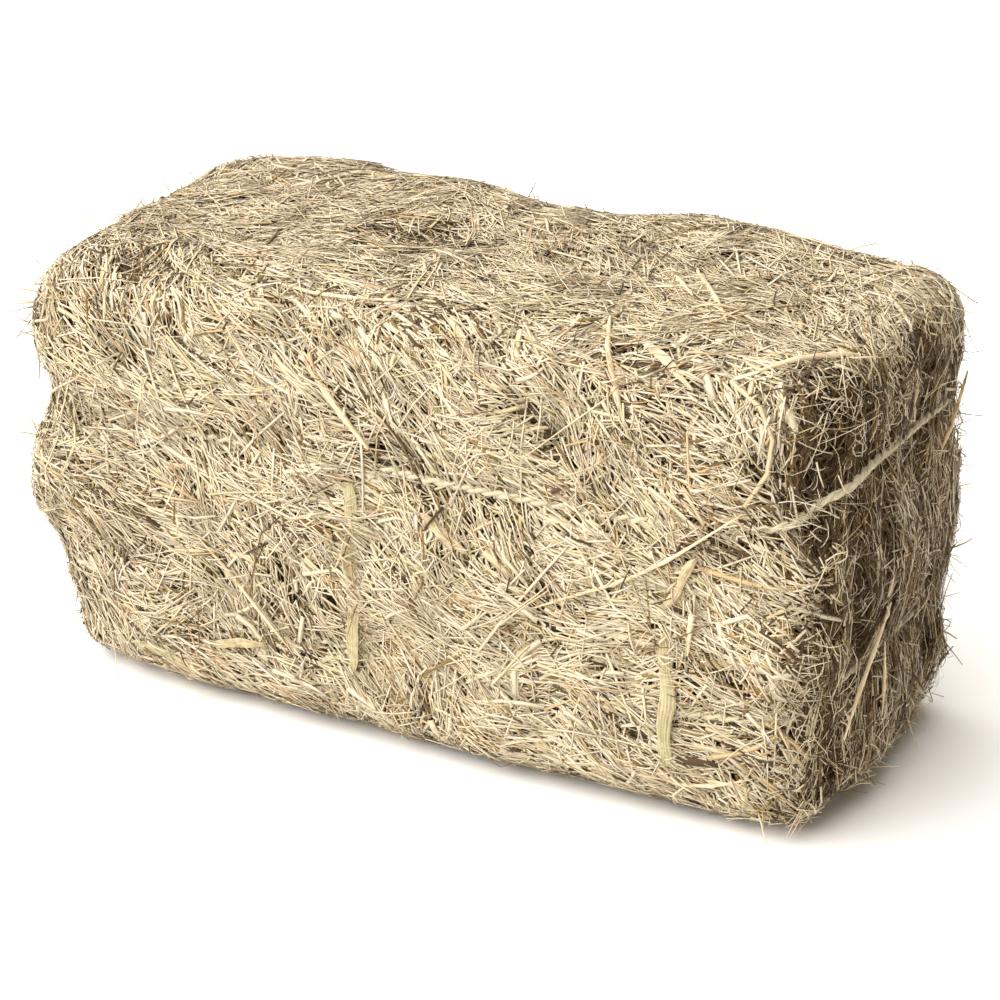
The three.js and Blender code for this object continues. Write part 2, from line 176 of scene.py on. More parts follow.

# Hollows where the hay is torn out or loose, darkened with painted shade: the middle and
# the reach of each in millimetres, measured like the heights of the twine, and its depth
HOLLOWS = (
    ((446, -158, 440), (34, 40, 26), 30),  # near upright edge, top of the long dark hollow
    ((446, -176, 392), (34, 40, 38), 32),  # its middle
    ((430, -190, 338), (28, 30, 30), 25),  # its foot, at the upper twine
    ((451, -112, 235), (26, 18, 80), 18),  # dark furrow down the right end
    ((451, -128, 300), (22, 20, 34), 12),  # right end, between the hollow and the furrow
    ((451, -60, 300), (22, 12, 50), 8),  # right end, under the twine
    ((451, -108, 412), (24, 42, 44), 14),  # right end, beside the near edge
    ((446, -190, 200), (18, 18, 70), 13),  # near upright edge, lower part
    ((451, -150, 90), (26, 32, 34), 12),  # near foot of the right end
    ((451, 45, 415), (26, 24, 34), 13),  # right end, above the twine
    ((280, -197, 405), (15, 22, 22), 9),  # front, upper right
    ((-150, -197, 220), (28, 22, 24), 4),  # front, left of the middle
    ((-340, -197, 190), (26, 22, 40), 4),  # front, far left
    ((-15, -197, 332), (15, 22, 16), 6),  # front, where the upper twine dives under
    ((345, -197, 296), (15, 22, 16), 8),  # front, right, under the upper twine
    ((-72, -8, 481), (42, 24, 22), 9),  # top, left of the middle
    ((62, -190, 474), (34, 22, 14), 8),  # top edge of the front
    ((250, -190, 468), (22, 22, 14), 7),  # top edge of the front, right
    ((-322, -190, 474), (30, 24, 14), 8),  # top edge of the front, left
)

# Where loose hay stands higher than the pressed block: the middle, the reach and the height
RISES = (
    ((-436, -60, 468), (60, 110, 50), 10),  # left end of the top
    ((-250, 190, 478), (120, 60, 30), 6),  # far top edge, left
    ((-40, 190, 478), (140, 60, 30), 7),  # far top edge, middle
    ((190, 190, 478), (150, 60, 30), 8),  # far top edge, right
    ((-451, -150, 195), (30, 70, 70), 10),  # left end, near edge, low
    ((451, 190, 330), (30, 50, 60), 8),  # right end, far edge
)

# Where small tufts stand out of the bale: the place in millimetres and the number of stalks
TUFTS = (
    ((-451, -150, 400), 34), ((-451, -160, 360), 16), ((-451, -150, 250), 24), ((-451, -160, 190), 14),
    ((451, 197, 330), 14), ((451, 190, 250), 22), ((451, 190, 170), 20), ((440, 190, 90), 18),
    ((451, 60, 60), 26), ((451, -60, 40), 26), ((430, -160, 30), 20), ((400, -190, 30), 18),
    ((-451, 20, 470), 12), ((-451, -70, 460), 12), ((-60, 190, 481), 5), ((300, 190, 481), 5),
    ((-300, 190, 481), 8), ((-440, 100, 470), 8),
)

# Kinds of stalks: the share of a side's count, the length and width beside a common stalk, the
# lowest and highest lift over the surface in metres, the dark share (painted shade in the inner
# layers that lie under the others, a darker tone of a few stalks in the outer ones), and points along each
INNER_LAYERS = {
    "deep": (0.26, 0.80, 1.30, -0.0070, -0.0032, 0.90, 2),
    "middle": (0.39, 0.75, 1.05, -0.0026, -0.0002, 0.19, 2),
}
OUTER_LAYERS = {
    "outer": (0.22, 1.00, 0.90, -0.0010, 0.0012, 0.02, 3),
    "chips": (0.15, 0.36, 0.90, -0.0010, 0.0014, 0.05, 2),
    "long": (0.026, 1.6, 1.00, -0.0010, 0.0014, 0.01, 5),
    "blades": (0.030, 0.8, 2.1, -0.0012, 0.0006, 0.02, 4),
}
LENGTH_LIMITS = (0.010, 0.16)  # shortest and longest laid stalk
LENGTH_VARIETY, WIDTH_VARIETY = 0.45, 0.35
KINKED_SHARE, KINK, PLAIN_BEND = 0.25, 0.22, 0.05
FLATNESS = (0.04, 0.16)  # height of a stalk's prism beside its width
CROSSING_SHARE, CROSSING_TURN = 0.34, 1.5  # of the stalks lie across their swath, in radians
SWATH_SWING = 1.6  # how far the noise below swings a swath, beside the side's own turn
SWATHS = ((1.5, 1.0, 3.0), (0.7, 0.36, 11.0), (0.5, 0.12, 17.0))  # strength, span, offset
PRISM_ROLL = 0.14  # how far stalks are rolled about their length, in radians

# Pockets between tufts: the lumps that make them (share, span in metres, offset), where they
# start and how fast they deepen, more of them on the ends, and shallower ones on the top
POCKET_LUMPS = ((1.0, 0.036, 31.0), (0.4, 0.085, 7.0))
POCKET_START, POCKET_SLOPE = 0.34, 0.16
END_DEPTH, END_POCKETS, TOP_POCKETS = 0.040, 0.24, 0.4
TOP_START = 0.462  # height of the lowest hay that counts as the top
GRAIN_RISE, GRAIN_SPAN = 0.002, 0.012  # fine grain of the matted hay under the stalks
SMOOTHING_PASSES, SMOOTHING = 7, 0.6  # of the solid's copy that the stalks lie on
GUIDE_FLOOR, CORE_FLOOR, STALK_FLOOR = 0.002, 0.0005, 0.0015  # lowest heights over the floor

# Sides with painted shade: how fast torn hay loses stalks and darkens as painted shade with its depth,
# the extra dark share of both ends as painted shade, that of other sides (less on the lit top), and how
# flat the top's stalks lie
TORN_LOSS, TORN_PAINTED_SHADE = 34.0, 60.0
END_SHADE = 0.33
INNER_LOSS, INNER_SHADE = 0.4, 2.0  # the same two of inner layers, beside the outer ones
SIDE_PAINTED_SHADE = {"top": 0.25}
TOP_FLATNESS = 0.65

# The twine: how deep it sinks where hay hides it, how far it presses the hay in on the ends and
# faces, how far away the stalks over it are kept, and the part of each side that it lies on
TWINE_DIVE = 0.0065
END_DIP, FACE_DIP, DIP_SPAN = 0.0065, 0.0035, 0.009
TWINE_CLEARANCE = 0.0065
TWINE_STEP, TWINE_WANDER = 0.004, 0.0015  # between points of its route, and its sideways wander
PLY_OFFSET, PLY_RADIUS = 0.42, 0.62  # of each ply, beside the twine's radius
FIBRES_PER_METRE, FIBRE_WIDTH = 900, 0.00045
SIDE_MIDDLE, SIDE_REACH = 0.24, 0.20
FRONT_LINE, BACK_LINE, END_LINE = -0.155, 0.165, 0.425

# How much of each loop shows along the front: the share from each place (x) on, in metres
UPPER_SHOWN = ((-0.44, 0.10), (-0.25, 0.50), (-0.12, 0.15), (-0.02, 0.82), (0.16, 0.50), (0.30, 0.08))
LOWER_SHOWN = ((-0.44, 0.20), (-0.20, 0.45), (-0.05, 0.15), (0.25, 0.40), (0.38, 0.20))

# Thin stalks across the loose blades and stems: one every gap, arched this high over them
CROSSING_GAP, CROSSING_LIFT = 0.0085, 0.0044
CROSSING_SCATTER, CROSSING_LENGTH = 30, 0.022  # degrees from their swath, and the usual length
CROSSING_LENGTHS = (0.012, 0.045)  # shortest and longest

# Stray stalks by kind: how many, points along each, the usual length, the steepest tilt in degrees
STRAYS = {"short_strays": (3400, 3, 0.015, 34), "long_strays": (420, 5, 0.034, 36)}
STRAY_LENGTHS, STRAY_ROOT = (0.008, 0.085), 0.010  # limits, and how deep each is rooted
STRAY_MARGIN, TUFT_MARGIN = 0.008, 0.016  # how far past the solids' box they may reach
STRAY_FLOOR, THIN_FLOOR = 0.002, 0.003  # lowest height over the floor
CLUMP_SPAN, CLUMP_OFFSET = 0.035, 23.0  # strays stand in clumps this far apart
CLUMP_CONTRAST, CLUMP_USUAL, CLUMP_LEAST = 2.2, 0.25, 0.04
TUFT_SPREAD, TUFT_ROOT, TUFT_LENGTHS = 0.013, 0.008, (0.016, 0.040)
# Curled fibres: how many, and the share of them that is dark, painted shade of the hollows and of the right
# end where most of them lie
CURLED_FIBRES, CURLED_PAINTED_SHADE = 1400, 0.55
CURL_TURN, CURL_LENGTH, CURL_RISE = 2.4, 0.028, 0.009  # in radians along each, and metres
THIN_DARK = 0.10
THIN_WIDTHS = {"short_strays": 0.0011, "long_strays": 0.0013, "tufts": 0.0014,
               "crossing_stalks": 0.0017, "curled_fibres": 0.0008}

# Loose leaf blades: width beside the solid's, and the shares of the length that narrow at its
# two ends; how low a blade lies in the hay, the height and number of its ribs, and how much
# thinner a stem is than its solid
LEAF_SPREAD = {"blade_tall_left": 1.45, "blade_tall_right": 1.25, "fan_leaf": 0.80}
LEAF_TAPER = {"blade_tall_left": (0.10, 0.07), "blade_tall_right": (0.16, 0.07), "fan_leaf": (0.12, 0.30)}
PLAIN_TAPER = (0.25, 0.34)
LEAF_BED = 0.0012
LEAF_RIB, LEAF_RIBS = 0.00035, 5
LEAF_THICKNESS, LEAF_STEP = 0.0006, 0.004
LEAF_TWIST, LEAF_RAGGED, LEAF_SWAY = 0.18, 0.09, 0.16
FAN_NARROWING, PLAIN_NARROWING = 0.45, 0.12  # from the top end to the low end
STEM_THINNING, JOINT_SWELL, JOINT_PLACE = 0.78, 0.35, 0.62  # a stem swells at its joint

# The colour of each leaf blade, and the one between its ribs
LEAF_COLOURS = {
    "blade_tall_left": ("olive_leaf", "leaf_vein"),
    "blade_tall_right": ("olive_leaf", "leaf_vein"),
    "leaf_wide_foot_left": ("olive_leaf", "leaf_vein"),
    "fan_leaf": ("dull_leaf", "leaf_vein"),
    "blade_pale_right": ("dull_leaf", "leaf_vein"),
    "leaf_brown_lower_left": ("dull_leaf", "leaf_vein"),
    "blade_flat_middle": ("dull_leaf", "leaf_vein"),
    "blade_white_right": ("cream_straw", "straw"),
    "leaf_curled_top_left": ("orange_straw", "brown_straw"),
}

# Soft lights far off: the energy, how wide each looks in degrees, and the way its light goes
SOFT_LIGHTS = (
    ("front_light", 2.43, 80, (0.52, 0.78, -0.35)),
    ("top_light", 5.3, 95, (0.42, 0.25, -0.88)),
    ("end_light", 0.30, 20, (-0.74, 0.50, -0.45)),
)

LAMP_COLOUR = (1.0, 0.995, 0.985)
WORLD_COLOUR, WORLD_STRENGTH = (1.0, 0.73, 0.40), 0.15
FLOOR_REACH = 60.0

# The camera, from the outline of the bale in the photograph
LENS = 100.0
AZIMUTH, ELEVATION, ROLL = math.radians(28.06), math.radians(22.66), math.radians(0.55)
DISTANCE = 2.8738
AIM_HEIGHT = 0.237
AIM_RIGHT, AIM_UP = 0.0070, -0.0257


def sizes():
    return bpy.context.scene.hay_bale_sizes


def colours():
    return bpy.context.scene.hay_bale_colours


def add_node(tree, kind, settings=None, inputs=None):
    """Adds a node, sets its own settings, and fills or links its inputs by name or number."""
    made = tree.nodes.new("ShaderNode" + kind)
    for key, value in (settings or {}).items():
        setattr(made, key, value)
    for key, value in (inputs or {}).items():
        if isinstance(value, bpy.types.NodeSocket):
            tree.links.new(value, made.inputs[key])
        else:
            made.inputs[key].default_value = value
    return made


def math_node(tree, operation, *values):
    """A node that calculates with numbers or with the results of other nodes."""
    return add_node(tree, "Math", {"operation": operation}, dict(enumerate(values))).outputs[0]


def opaque(colour):
    """A colour with an alpha of one."""
    return (*colour[:3], 1.0)


def new_material(name):
    material = bpy.data.materials.new(name)
    material.use_nodes = True
    material.node_tree.nodes.clear()
    return material, material.node_tree


def finish_material(tree, colour, roughness, bump=None, sheen=0.0):
    shader_inputs = {"Base Color": colour, "Roughness": roughness, "IOR": 1.46, "Sheen Weight": sheen}
    if bump is not None:
        shader_inputs["Normal"] = bump.outputs["Normal"]
    shader = add_node(tree, "BsdfPrincipled", inputs=shader_inputs)
    add_node(tree, "OutputMaterial", inputs={"Surface": shader.outputs["BSDF"]})


def ramp_node(tree, factor, stops, interpolation="LINEAR"):
    """A colour ramp with (position, colour) stops."""
    made = add_node(tree, "ValToRGB", inputs={"Fac": factor})
    ramp = made.color_ramp
    ramp.interpolation = interpolation
    while len(ramp.elements) > 1:
        ramp.elements.remove(ramp.elements[-1])
    for i, (position, colour) in enumerate(stops):
        element = ramp.elements[0] if i == 0 else ramp.elements.new(position)
        element.position = position
        element.color = opaque(colour)
    return made


def dry_grass_material():
    """Dry grass stalks, cut and pressed: matte with a faint waxy gleam, each of its own shade,
    with a streak along its length."""
    material, tree = new_material("dry_grass_stalks")
    palette = colours()
    uv = add_node(tree, "UVMap", {"uv_map": STALK_MAP})
    split = add_node(tree, "SeparateXYZ", inputs={0: uv.outputs["UV"]})
    across, along = split.outputs["X"], split.outputs["Y"]
    stops, total = [], 0.0
    for name, share in STALK_SHARES:
        stops.append((total, getattr(palette, name)))
        total += share
    shade = ramp_node(tree, across, stops, "CONSTANT")
    column = math_node(tree, "FLOOR", math_node(tree, "MULTIPLY", across, STALK_COLUMNS))
    chance = add_node(tree, "TexWhiteNoise", {"noise_dimensions": "1D"}, {"W": column})
    light = add_node(tree, "MapRange",
                     inputs={"Value": chance.outputs["Value"], "To Min": 0.90, "To Max": 1.04})
    length = math_node(tree, "MULTIPLY", along, 9.0)
    place = add_node(tree, "CombineXYZ", inputs={0: column, 1: length})
    streak = add_node(tree, "TexNoise", inputs={"Vector": place.outputs[0], "Scale": 1.0, "Detail": 3.0})
    tone = add_node(tree, "MapRange", inputs={"Value": streak.outputs["Fac"], "From Min": 0.3,
                                              "From Max": 0.7, "To Min": 0.89, "To Max": 1.03})
    both = math_node(tree, "MULTIPLY", light.outputs[0], tone.outputs[0])
    final = add_node(tree, "VectorMath", {"operation": "SCALE"},
                     {0: shade.outputs["Color"], "Scale": both})
    finish_material(tree, final.outputs[0], 0.7, sheen=0.05)
    return material


def painted_shade_core_material():
    """The pressed hay seen through the gaps between the stalks: fine matted fibres, coloured dark as
    painted shade in the gaps.
    """
    material, tree = new_material("matted_hay_painted_shade")
    palette = colours()
    place = add_node(tree, "TexCoord").outputs["Object"]
    warp = add_node(tree, "TexNoise", inputs={"Vector": place, "Scale": 14.0, "Detail": 2.0})
    bent = add_node(tree, "VectorMath", {"operation": "MULTIPLY_ADD"},
                    {0: warp.outputs["Color"], 1: (0.10, 0.10, 0.10), 2: place})
    fibre = add_node(tree, "TexWave", {"wave_type": "BANDS", "bands_direction": "DIAGONAL"},
                     {"Vector": bent.outputs[0], "Scale": 42.0, "Distortion": 9.0, "Detail": 4.0,
                      "Detail Scale": 2.2})
    # Both core colours are dark browns: painted shade seen through the gaps between the stalks
    shade = ramp_node(tree, fibre.outputs["Fac"], ((0.25, palette.core_dark), (0.95, palette.core_light)))
    bump = add_node(tree, "Bump",
                    inputs={"Strength": 0.8, "Distance": 0.002, "Height": fibre.outputs["Fac"]})
    finish_material(tree, shade.outputs["Color"], 0.9, bump)
    return material


def sisal_material():
    """Sisal baling twine: dull, hairy plant fibre, pale between darker creases along each ply."""
    material, tree = new_material("sisal_twine")
    palette = colours()
    place = add_node(tree, "TexCoord").outputs["Object"]
    fine = add_node(tree, "TexNoise",
                    inputs={"Vector": place, "Scale": 900.0, "Detail": 4.0, "Roughness": 0.7})
    patches = add_node(tree, "TexNoise", inputs={"Vector": place, "Scale": 55.0, "Detail": 2.0})
    mixed = math_node(tree, "MULTIPLY_ADD", patches.outputs["Fac"], 0.5, fine.outputs["Fac"])
    shade = ramp_node(tree, mixed, ((0.45, palette.sisal_shade), (0.85, palette.sisal)))
    bump = add_node(tree, "Bump",
                    inputs={"Strength": 0.6, "Distance": 0.0006, "Height": fine.outputs["Fac"]})
    finish_material(tree, shade.outputs["Color"], 0.85, bump, 0.2)
    return material


def leaf_material(name, base, vein, ribs):
    """A dried leaf blade or stem: satin, ribbed along its length, mottled where it weathered."""
    material, tree = new_material(name)
    uv = add_node(tree, "UVMap", {"uv_map": "lengthwise"})
    split = add_node(tree, "SeparateXYZ", inputs={0: uv.outputs["UV"]})
    across = math_node(tree, "MULTIPLY", split.outputs["X"], ribs)
    along = math_node(tree, "MULTIPLY", split.outputs["Y"], 5.0)
    place = add_node(tree, "CombineXYZ", inputs={0: across, 1: along})
    ribbing = add_node(tree, "TexNoise", inputs={"Vector": place.outputs[0], "Scale": 1.0, "Detail": 3.0})
    spots = add_node(tree, "TexNoise", inputs={"Vector": add_node(tree, "TexCoord").outputs["Object"],
                                               "Scale": 120.0, "Detail": 3.0})
    rib = math_node(tree, "COSINE", math_node(tree, "MULTIPLY", split.outputs["X"], math.tau * LEAF_RIBS))
    ribbed = math_node(tree, "MULTIPLY_ADD", rib, 0.05, ribbing.outputs["Fac"])
    mixed = math_node(tree, "MULTIPLY_ADD", spots.outputs["Fac"], 0.8, ribbed)
    shade = ramp_node(tree, mixed, ((0.62, vein), (1.02, base)))
    bump = add_node(tree, "Bump",
                    inputs={"Strength": 0.5, "Distance": 0.0005, "Height": ribbing.outputs["Fac"]})
    finish_material(tree, shade.outputs["Color"], 0.55, bump, 0.1)
    return material


def object_from(mesh, name, material):
    """A new object for a finished mesh whose place is in its vertices."""
    made = bpy.data.objects.new(name, mesh)
    bpy.context.scene.collection.objects.link(made)
    if material is not None:
        made.data.materials.append(material)
    return made


def object_from_bmesh(bm, name, material):
    mesh = bpy.data.meshes.new(name)
    bm.to_mesh(mesh)
    bm.free()
    return object_from(mesh, name, material)


def cad_vertices(node):
    """The separate vertices of a CAD node, in metres."""
    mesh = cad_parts[node].data
    places = np.empty(len(mesh.vertices) * 3)
    mesh.vertices.foreach_get("co", places)
    return np.unique(places.reshape(-1, 3).round(6), axis=0)


def applied(maker, name):
    """The mesh of an object with its modifiers, which are then gone with the object."""
    graph = bpy.context.evaluated_depsgraph_get()
    mesh = bpy.data.meshes.new_from_object(maker.evaluated_get(graph), depsgraph=graph)
    mesh.name = name
    bpy.data.objects.remove(maker)
    return mesh


def lumps(places, span, offset=0.0):
    """Smooth noise from -1 to 1 at each place, with lumps of the stated span."""
    return np.array([noise.noise(Vector(p) / span + Vector((offset, offset, offset))) for p in places])


def block_shift():
    """How far the block's middle stands from the origin, from the twine that goes round it."""
    low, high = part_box(TWINE_NODES[0])
    radius = sizes().twine_radius
    return np.array([(low[0] + high[0]) / 2, low[1] + radius + BLOCK_DEPTH / 2 - FACE_CUT])


def on_block(places):
    """The same places, measured from the middle of the plain block's base."""
    local = places.copy()
    local[..., :2] -= block_shift()
    return local


def formed(places, forms):
    """The depth or height at each place of the nearest of some soft forms, in metres."""
    local = on_block(places)
    most = np.zeros(len(places))
    for middle, reach, size in forms:
        away = np.sum(((local * 1000 - middle) / reach) ** 2, axis=1)
        most = np.maximum(most, size / 1000 * np.exp(-away))
    return most


def hollows(places):
    """How deep the hay is torn out at each place, in metres."""
    return formed(places, HOLLOWS)


def pockets(places):
    """Depth of the dark pockets between tufts of hay, in metres."""
    raw = sum(share * lumps(places, span, offset) for share, span, offset in POCKET_LUMPS)
    at_end = np.abs(places[:, 0]) > CAD_BOX[1][0] - END_DEPTH
    raw = np.where(at_end, raw + END_POCKETS, raw)
    depth = np.where(places[:, 2] > TOP_START, TOP_POCKETS, 1.0) * sizes().pocket_depth
    return np.clip((raw - POCKET_START) / POCKET_SLOPE, 0.0, 1.0) * depth


def guide_surface():
    """The hay's own surface without its stray stalks: a remeshed, smoothed copy of the solid."""
    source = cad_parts[HAY_NODE]
    bm = bmesh.new()
    bm.from_mesh(source.data)
    bmesh.ops.remove_doubles(bm, verts=bm.verts, dist=1e-5)
    maker = object_from_bmesh(bm, "hay_guide", None)
    remesh = maker.modifiers.new("grain", "REMESH")
    remesh.mode = "VOXEL"
    remesh.voxel_size = sizes().core_voxel
    bm = bmesh.new()
    bm.from_mesh(applied(maker, "hay_guide"))
    for _ in range(SMOOTHING_PASSES):
        bmesh.ops.smooth_vert(bm, verts=bm.verts, factor=SMOOTHING,
                              use_axis_x=True, use_axis_y=True, use_axis_z=True)
    bmesh.ops.recalc_face_normals(bm, faces=bm.faces)
    for vertex in bm.verts:
        vertex.co.z = max(vertex.co.z, GUIDE_FLOOR)
    bm.normal_update()
    return bm


class Ground:
    """The surface that the stalks lie on, and quick ways to sample it and drop places onto it."""

    def __init__(self, bm):
        self.tree = BVHTree.FromBMesh(bm)
        faces = [f for f in bm.faces]
        self.centres = np.array([f.calc_center_median()[:] for f in faces])
        self.normals = np.array([f.normal[:] for f in faces])
        self.areas = np.array([f.calc_area() for f in faces])

    def side_faces(self, out):
        outs = np.array([side[0] for side in SIDES.values()], float)
        best = np.argmax(self.normals @ outs.T, axis=1)
        return np.nonzero(best == [tuple(o) for o in outs].index(tuple(map(float, out))))[0]

    def scatter(self, rng, out, per_square_metre):
        """Random places on one side, spread a face's width about each face's middle."""
        faces = self.side_faces(out)
        areas = self.areas[faces]
        count = int(areas.sum() * per_square_metre)
        picked = faces[rng.choice(len(faces), count, p=areas / areas.sum())]
        spread = np.sqrt(self.areas[picked])[:, None] * 0.6
        places = self.centres[picked] + rng.uniform(-1, 1, (count, 3)) * spread
        return places, self.normals[picked]

    def drop(self, places):
        """The nearest places on the surface, and the ways out of it there."""
        shape = places.shape
        found = [self.tree.find_nearest(Vector(p)) for p in places.reshape(-1, 3)]
        down = np.array([f[0][:] for f in found]).reshape(shape)
        out = np.array([f[1][:] for f in found]).reshape(shape)
        return down, out


def unit(vectors):
    """The same vectors, each one long."""
    return vectors / np.maximum(np.linalg.norm(vectors, axis=-1, keepdims=True), 1e-12)


def headings(places, normals, start, usual, swath_turn, stalk_turn, rng):
    """The way that each stalk lies: whole swaths turn together, and each stalk turns a little."""
    span = sizes().swath_span
    swath = sum(strength * lumps(places, span * share, offset) for strength, share, offset in SWATHS)
    angle = np.radians(usual + swath_turn * SWATH_SWING * swath)
    angle += rng.normal(0, np.radians(stalk_turn), len(places))
    crossing = rng.random(len(places)) < CROSSING_SHARE
    angle[crossing] += rng.uniform(-CROSSING_TURN, CROSSING_TURN, crossing.sum())
    first = np.array(start, float) - (normals @ np.array(start, float))[:, None] * normals
    first = unit(first)
    second = np.cross(normals, first)
    return np.cos(angle)[:, None] * first + np.sin(angle)[:, None] * second


def stalk_columns(count, rng, dark=0.0, torn=0.0):
    """The column of the shade map for each stalk. A share is dark: painted shade for stalks that lie deep
    or on the ends, a darker tone for a few others; stalks in torn hollows are darker still, as painted
    shade.
    """
    shares = np.array([share for _, share in STALK_SHARES])
    kinds = rng.choice(len(shares), count, p=shares / shares.sum())
    # Dark stalks: painted shade for deep layers and the ends, a darker tone for a few others
    deep = rng.random(count) < dark
    kinds[deep] = len(shares) - rng.integers(1, 4, deep.sum())
    # Painted shade in torn hollows: brown and dark stalks
    shadowed = rng.random(count) < torn
    kinds[shadowed] = len(shares) - rng.integers(1, 3, shadowed.sum())
    ends = np.cumsum(shares) / shares.sum()
    starts = ends - shares / shares.sum()
    u = starts[kinds] + (ends - starts)[kinds] * rng.random(count)
    return (np.floor(u * STALK_COLUMNS) + 0.5) / STALK_COLUMNS


def prisms(spines, outs, widths, heights, columns, rng):
    """Closed three-sided stalks along spines of equal point count: places, quads, tips and UVs."""
    count, rings = spines.shape[:2]
    along = unit(np.gradient(spines, axis=1))
    across = unit(np.cross(along, outs))
    up = np.cross(across, along)
    roll = rng.normal(0, PRISM_ROLL, (count, 1, 1))
    across, up = np.cos(roll) * across + np.sin(roll) * up, np.cos(roll) * up - np.sin(roll) * across
    w, h = widths[..., None] / 2, heights[..., None]
    places = np.stack([spines - across * w, spines + across * w, spines + up * h], axis=2)
    base = (np.arange(count) * rings * 3)[:, None, None]
    ring = (np.arange(rings - 1) * 3)[None, :, None]
    near = base + ring
    quads = [np.concatenate([near + a, near + 3 + a, near + 3 + b, near + b], 2)
             for a, b in ((0, 1), (1, 2), (2, 0))]
    quads = np.stack(quads, 2).reshape(-1, 4)
    first = base[:, 0] + np.array([[0, 1, 2]])
    last = base[:, 0] + (rings - 1) * 3 + np.array([[2, 1, 0]])
    tips = np.concatenate([first, last])
    v_start = rng.random((count, 1, 1)) * 0.6
    v = v_start + np.linspace(0, 0.4, rings)[None, :, None] + np.array([0.0, 0.01, 0.02])[None, None, :]
    u = columns[:, None, None] + np.array([-0.3, 0.3, 0.0])[None, None, :] / STALK_COLUMNS
    uvs = np.stack(np.broadcast_arrays(u, v), -1)
    return places.reshape(-1, 3), quads, tips, uvs.reshape(-1, 2)


def joined_mesh(name, groups):
    """One mesh from many groups of stalks."""
    places, uvs, corners, sizes_of_faces, offset = [], [], [], [], 0
    for spots, quads, tips, maps in groups:
        places.append(spots)
        uvs.append(maps)
        corners += [(quads + offset).ravel(), (tips + offset).ravel()]
        sizes_of_faces += [np.full(len(quads), 4), np.full(len(tips), 3)]
        offset += len(spots)
    places, uvs = np.concatenate(places), np.concatenate(uvs)
    corners, sizes_of_faces = np.concatenate(corners), np.concatenate(sizes_of_faces)
    mesh = bpy.data.meshes.new(name)
    mesh.vertices.add(len(places))
    mesh.vertices.foreach_set("co", places.astype(np.float32).ravel())
    mesh.loops.add(len(corners))
    mesh.loops.foreach_set("vertex_index", corners.astype(np.int32))
    mesh.polygons.add(len(sizes_of_faces))
    starts = np.concatenate([[0], np.cumsum(sizes_of_faces)[:-1]])
    mesh.polygons.foreach_set("loop_start", starts.astype(np.int32))
    mesh.update(calc_edges=True)
    layer = mesh.uv_layers.new(name=STALK_MAP)
    layer.data.foreach_set("uv", uvs[corners].astype(np.float32).ravel())
    mesh.validate()
    return mesh


def laid_stalks(ground, rng, side, kind):
    """One layer of stalks on one side of the bale, as groups of prisms."""
    out, start, usual, swath_turn, stalk_turn, thousands, width_share = SIDES[side]
    count_scale, length_scale, width_scale, low, high, dark, rings = kind
    places, normals = ground.scatter(rng, out, thousands * 1000 * count_scale)
    count = len(places)
    heading = headings(places, normals, start, usual, swath_turn, stalk_turn, rng)
    lengths = sizes().stalk_length * length_scale * rng.lognormal(0, LENGTH_VARIETY, count)
    lengths = np.clip(lengths, *LENGTH_LIMITS)
    steps = np.linspace(-0.5, 0.5, rings)
    side_way = np.cross(normals, heading)
    kinked = np.where(rng.random(count) < KINKED_SHARE, KINK, PLAIN_BEND)
    curve = rng.normal(0, 1, count) * kinked * lengths
    spines = (places[:, None] + heading[:, None] * steps[None, :, None] * lengths[:, None, None]
              + side_way[:, None] * ((steps ** 2 * 4 - 0.5)[None, :, None] * curve[:, None, None]))
    down, outs = ground.drop(spines)
    lift_a = rng.uniform(low, high, count)
    lift_b = rng.uniform(low, high, count)
    lifts = lift_a[:, None] * (0.5 - steps) + lift_b[:, None] * (0.5 + steps)
    if side == "top":
        lifts = lifts * TOP_FLATNESS
    tufts = sizes().tuft_rise * lumps(places, sizes().tuft_span, 5.0)
    sunk = hollows(down.reshape(-1, 3)).reshape(count, rings)
    torn = sunk.max(axis=1)
    raised = formed(down.reshape(-1, 3), RISES).reshape(count, rings)
    lifts = lifts + (tufts - pockets(places) - twine_dip(places))[:, None] - sunk + raised
    spines = down + outs * lifts[..., None]
    widths = sizes().stalk_width * width_scale * width_share * rng.lognormal(0, WIDTH_VARIETY, count)
    narrowing = rng.uniform(0.0, 0.5, (count, 1))
    widths = widths[:, None] * (1 - narrowing * (steps[None, :] + 0.5) ** 2)
    heights = widths * rng.uniform(*FLATNESS, (count, 1)) / width_scale
    keep = covered(spines, rng, high) & (spines[..., 2].min(axis=1) > STALK_FLOOR)
    keep &= rng.random(count) > torn * TORN_LOSS * (INNER_LOSS if high < 0 else 1.0)
    # Painted shade: less of the dark share on the lit top, more on the ends
    dark = dark * SIDE_PAINTED_SHADE.get(side, 1.0)
    if "end" in side:
        dark += END_SHADE * (INNER_SHADE if high <= 0 else 1.0)
    # Stalks in torn hollows get painted shade, darker the deeper the hollow
    columns = stalk_columns(count, rng, dark, torn * TORN_PAINTED_SHADE)
    return prisms(spines[keep], outs[keep], widths[keep], heights[keep], columns[keep], rng)


def loop_height(heights, places):
    """The height of a twine loop beside each place, in metres."""
    stations = np.array(heights) / 1000
    around = np.arctan2(stations[:, 1] / BLOCK_DEPTH, stations[:, 0] / BLOCK_LENGTH)
    order = np.argsort(around)
    angles = np.arctan2(places[..., 1] / BLOCK_DEPTH, places[..., 0] / BLOCK_LENGTH)
    return np.interp(angles, around[order], stations[order, 2], period=2 * math.pi)


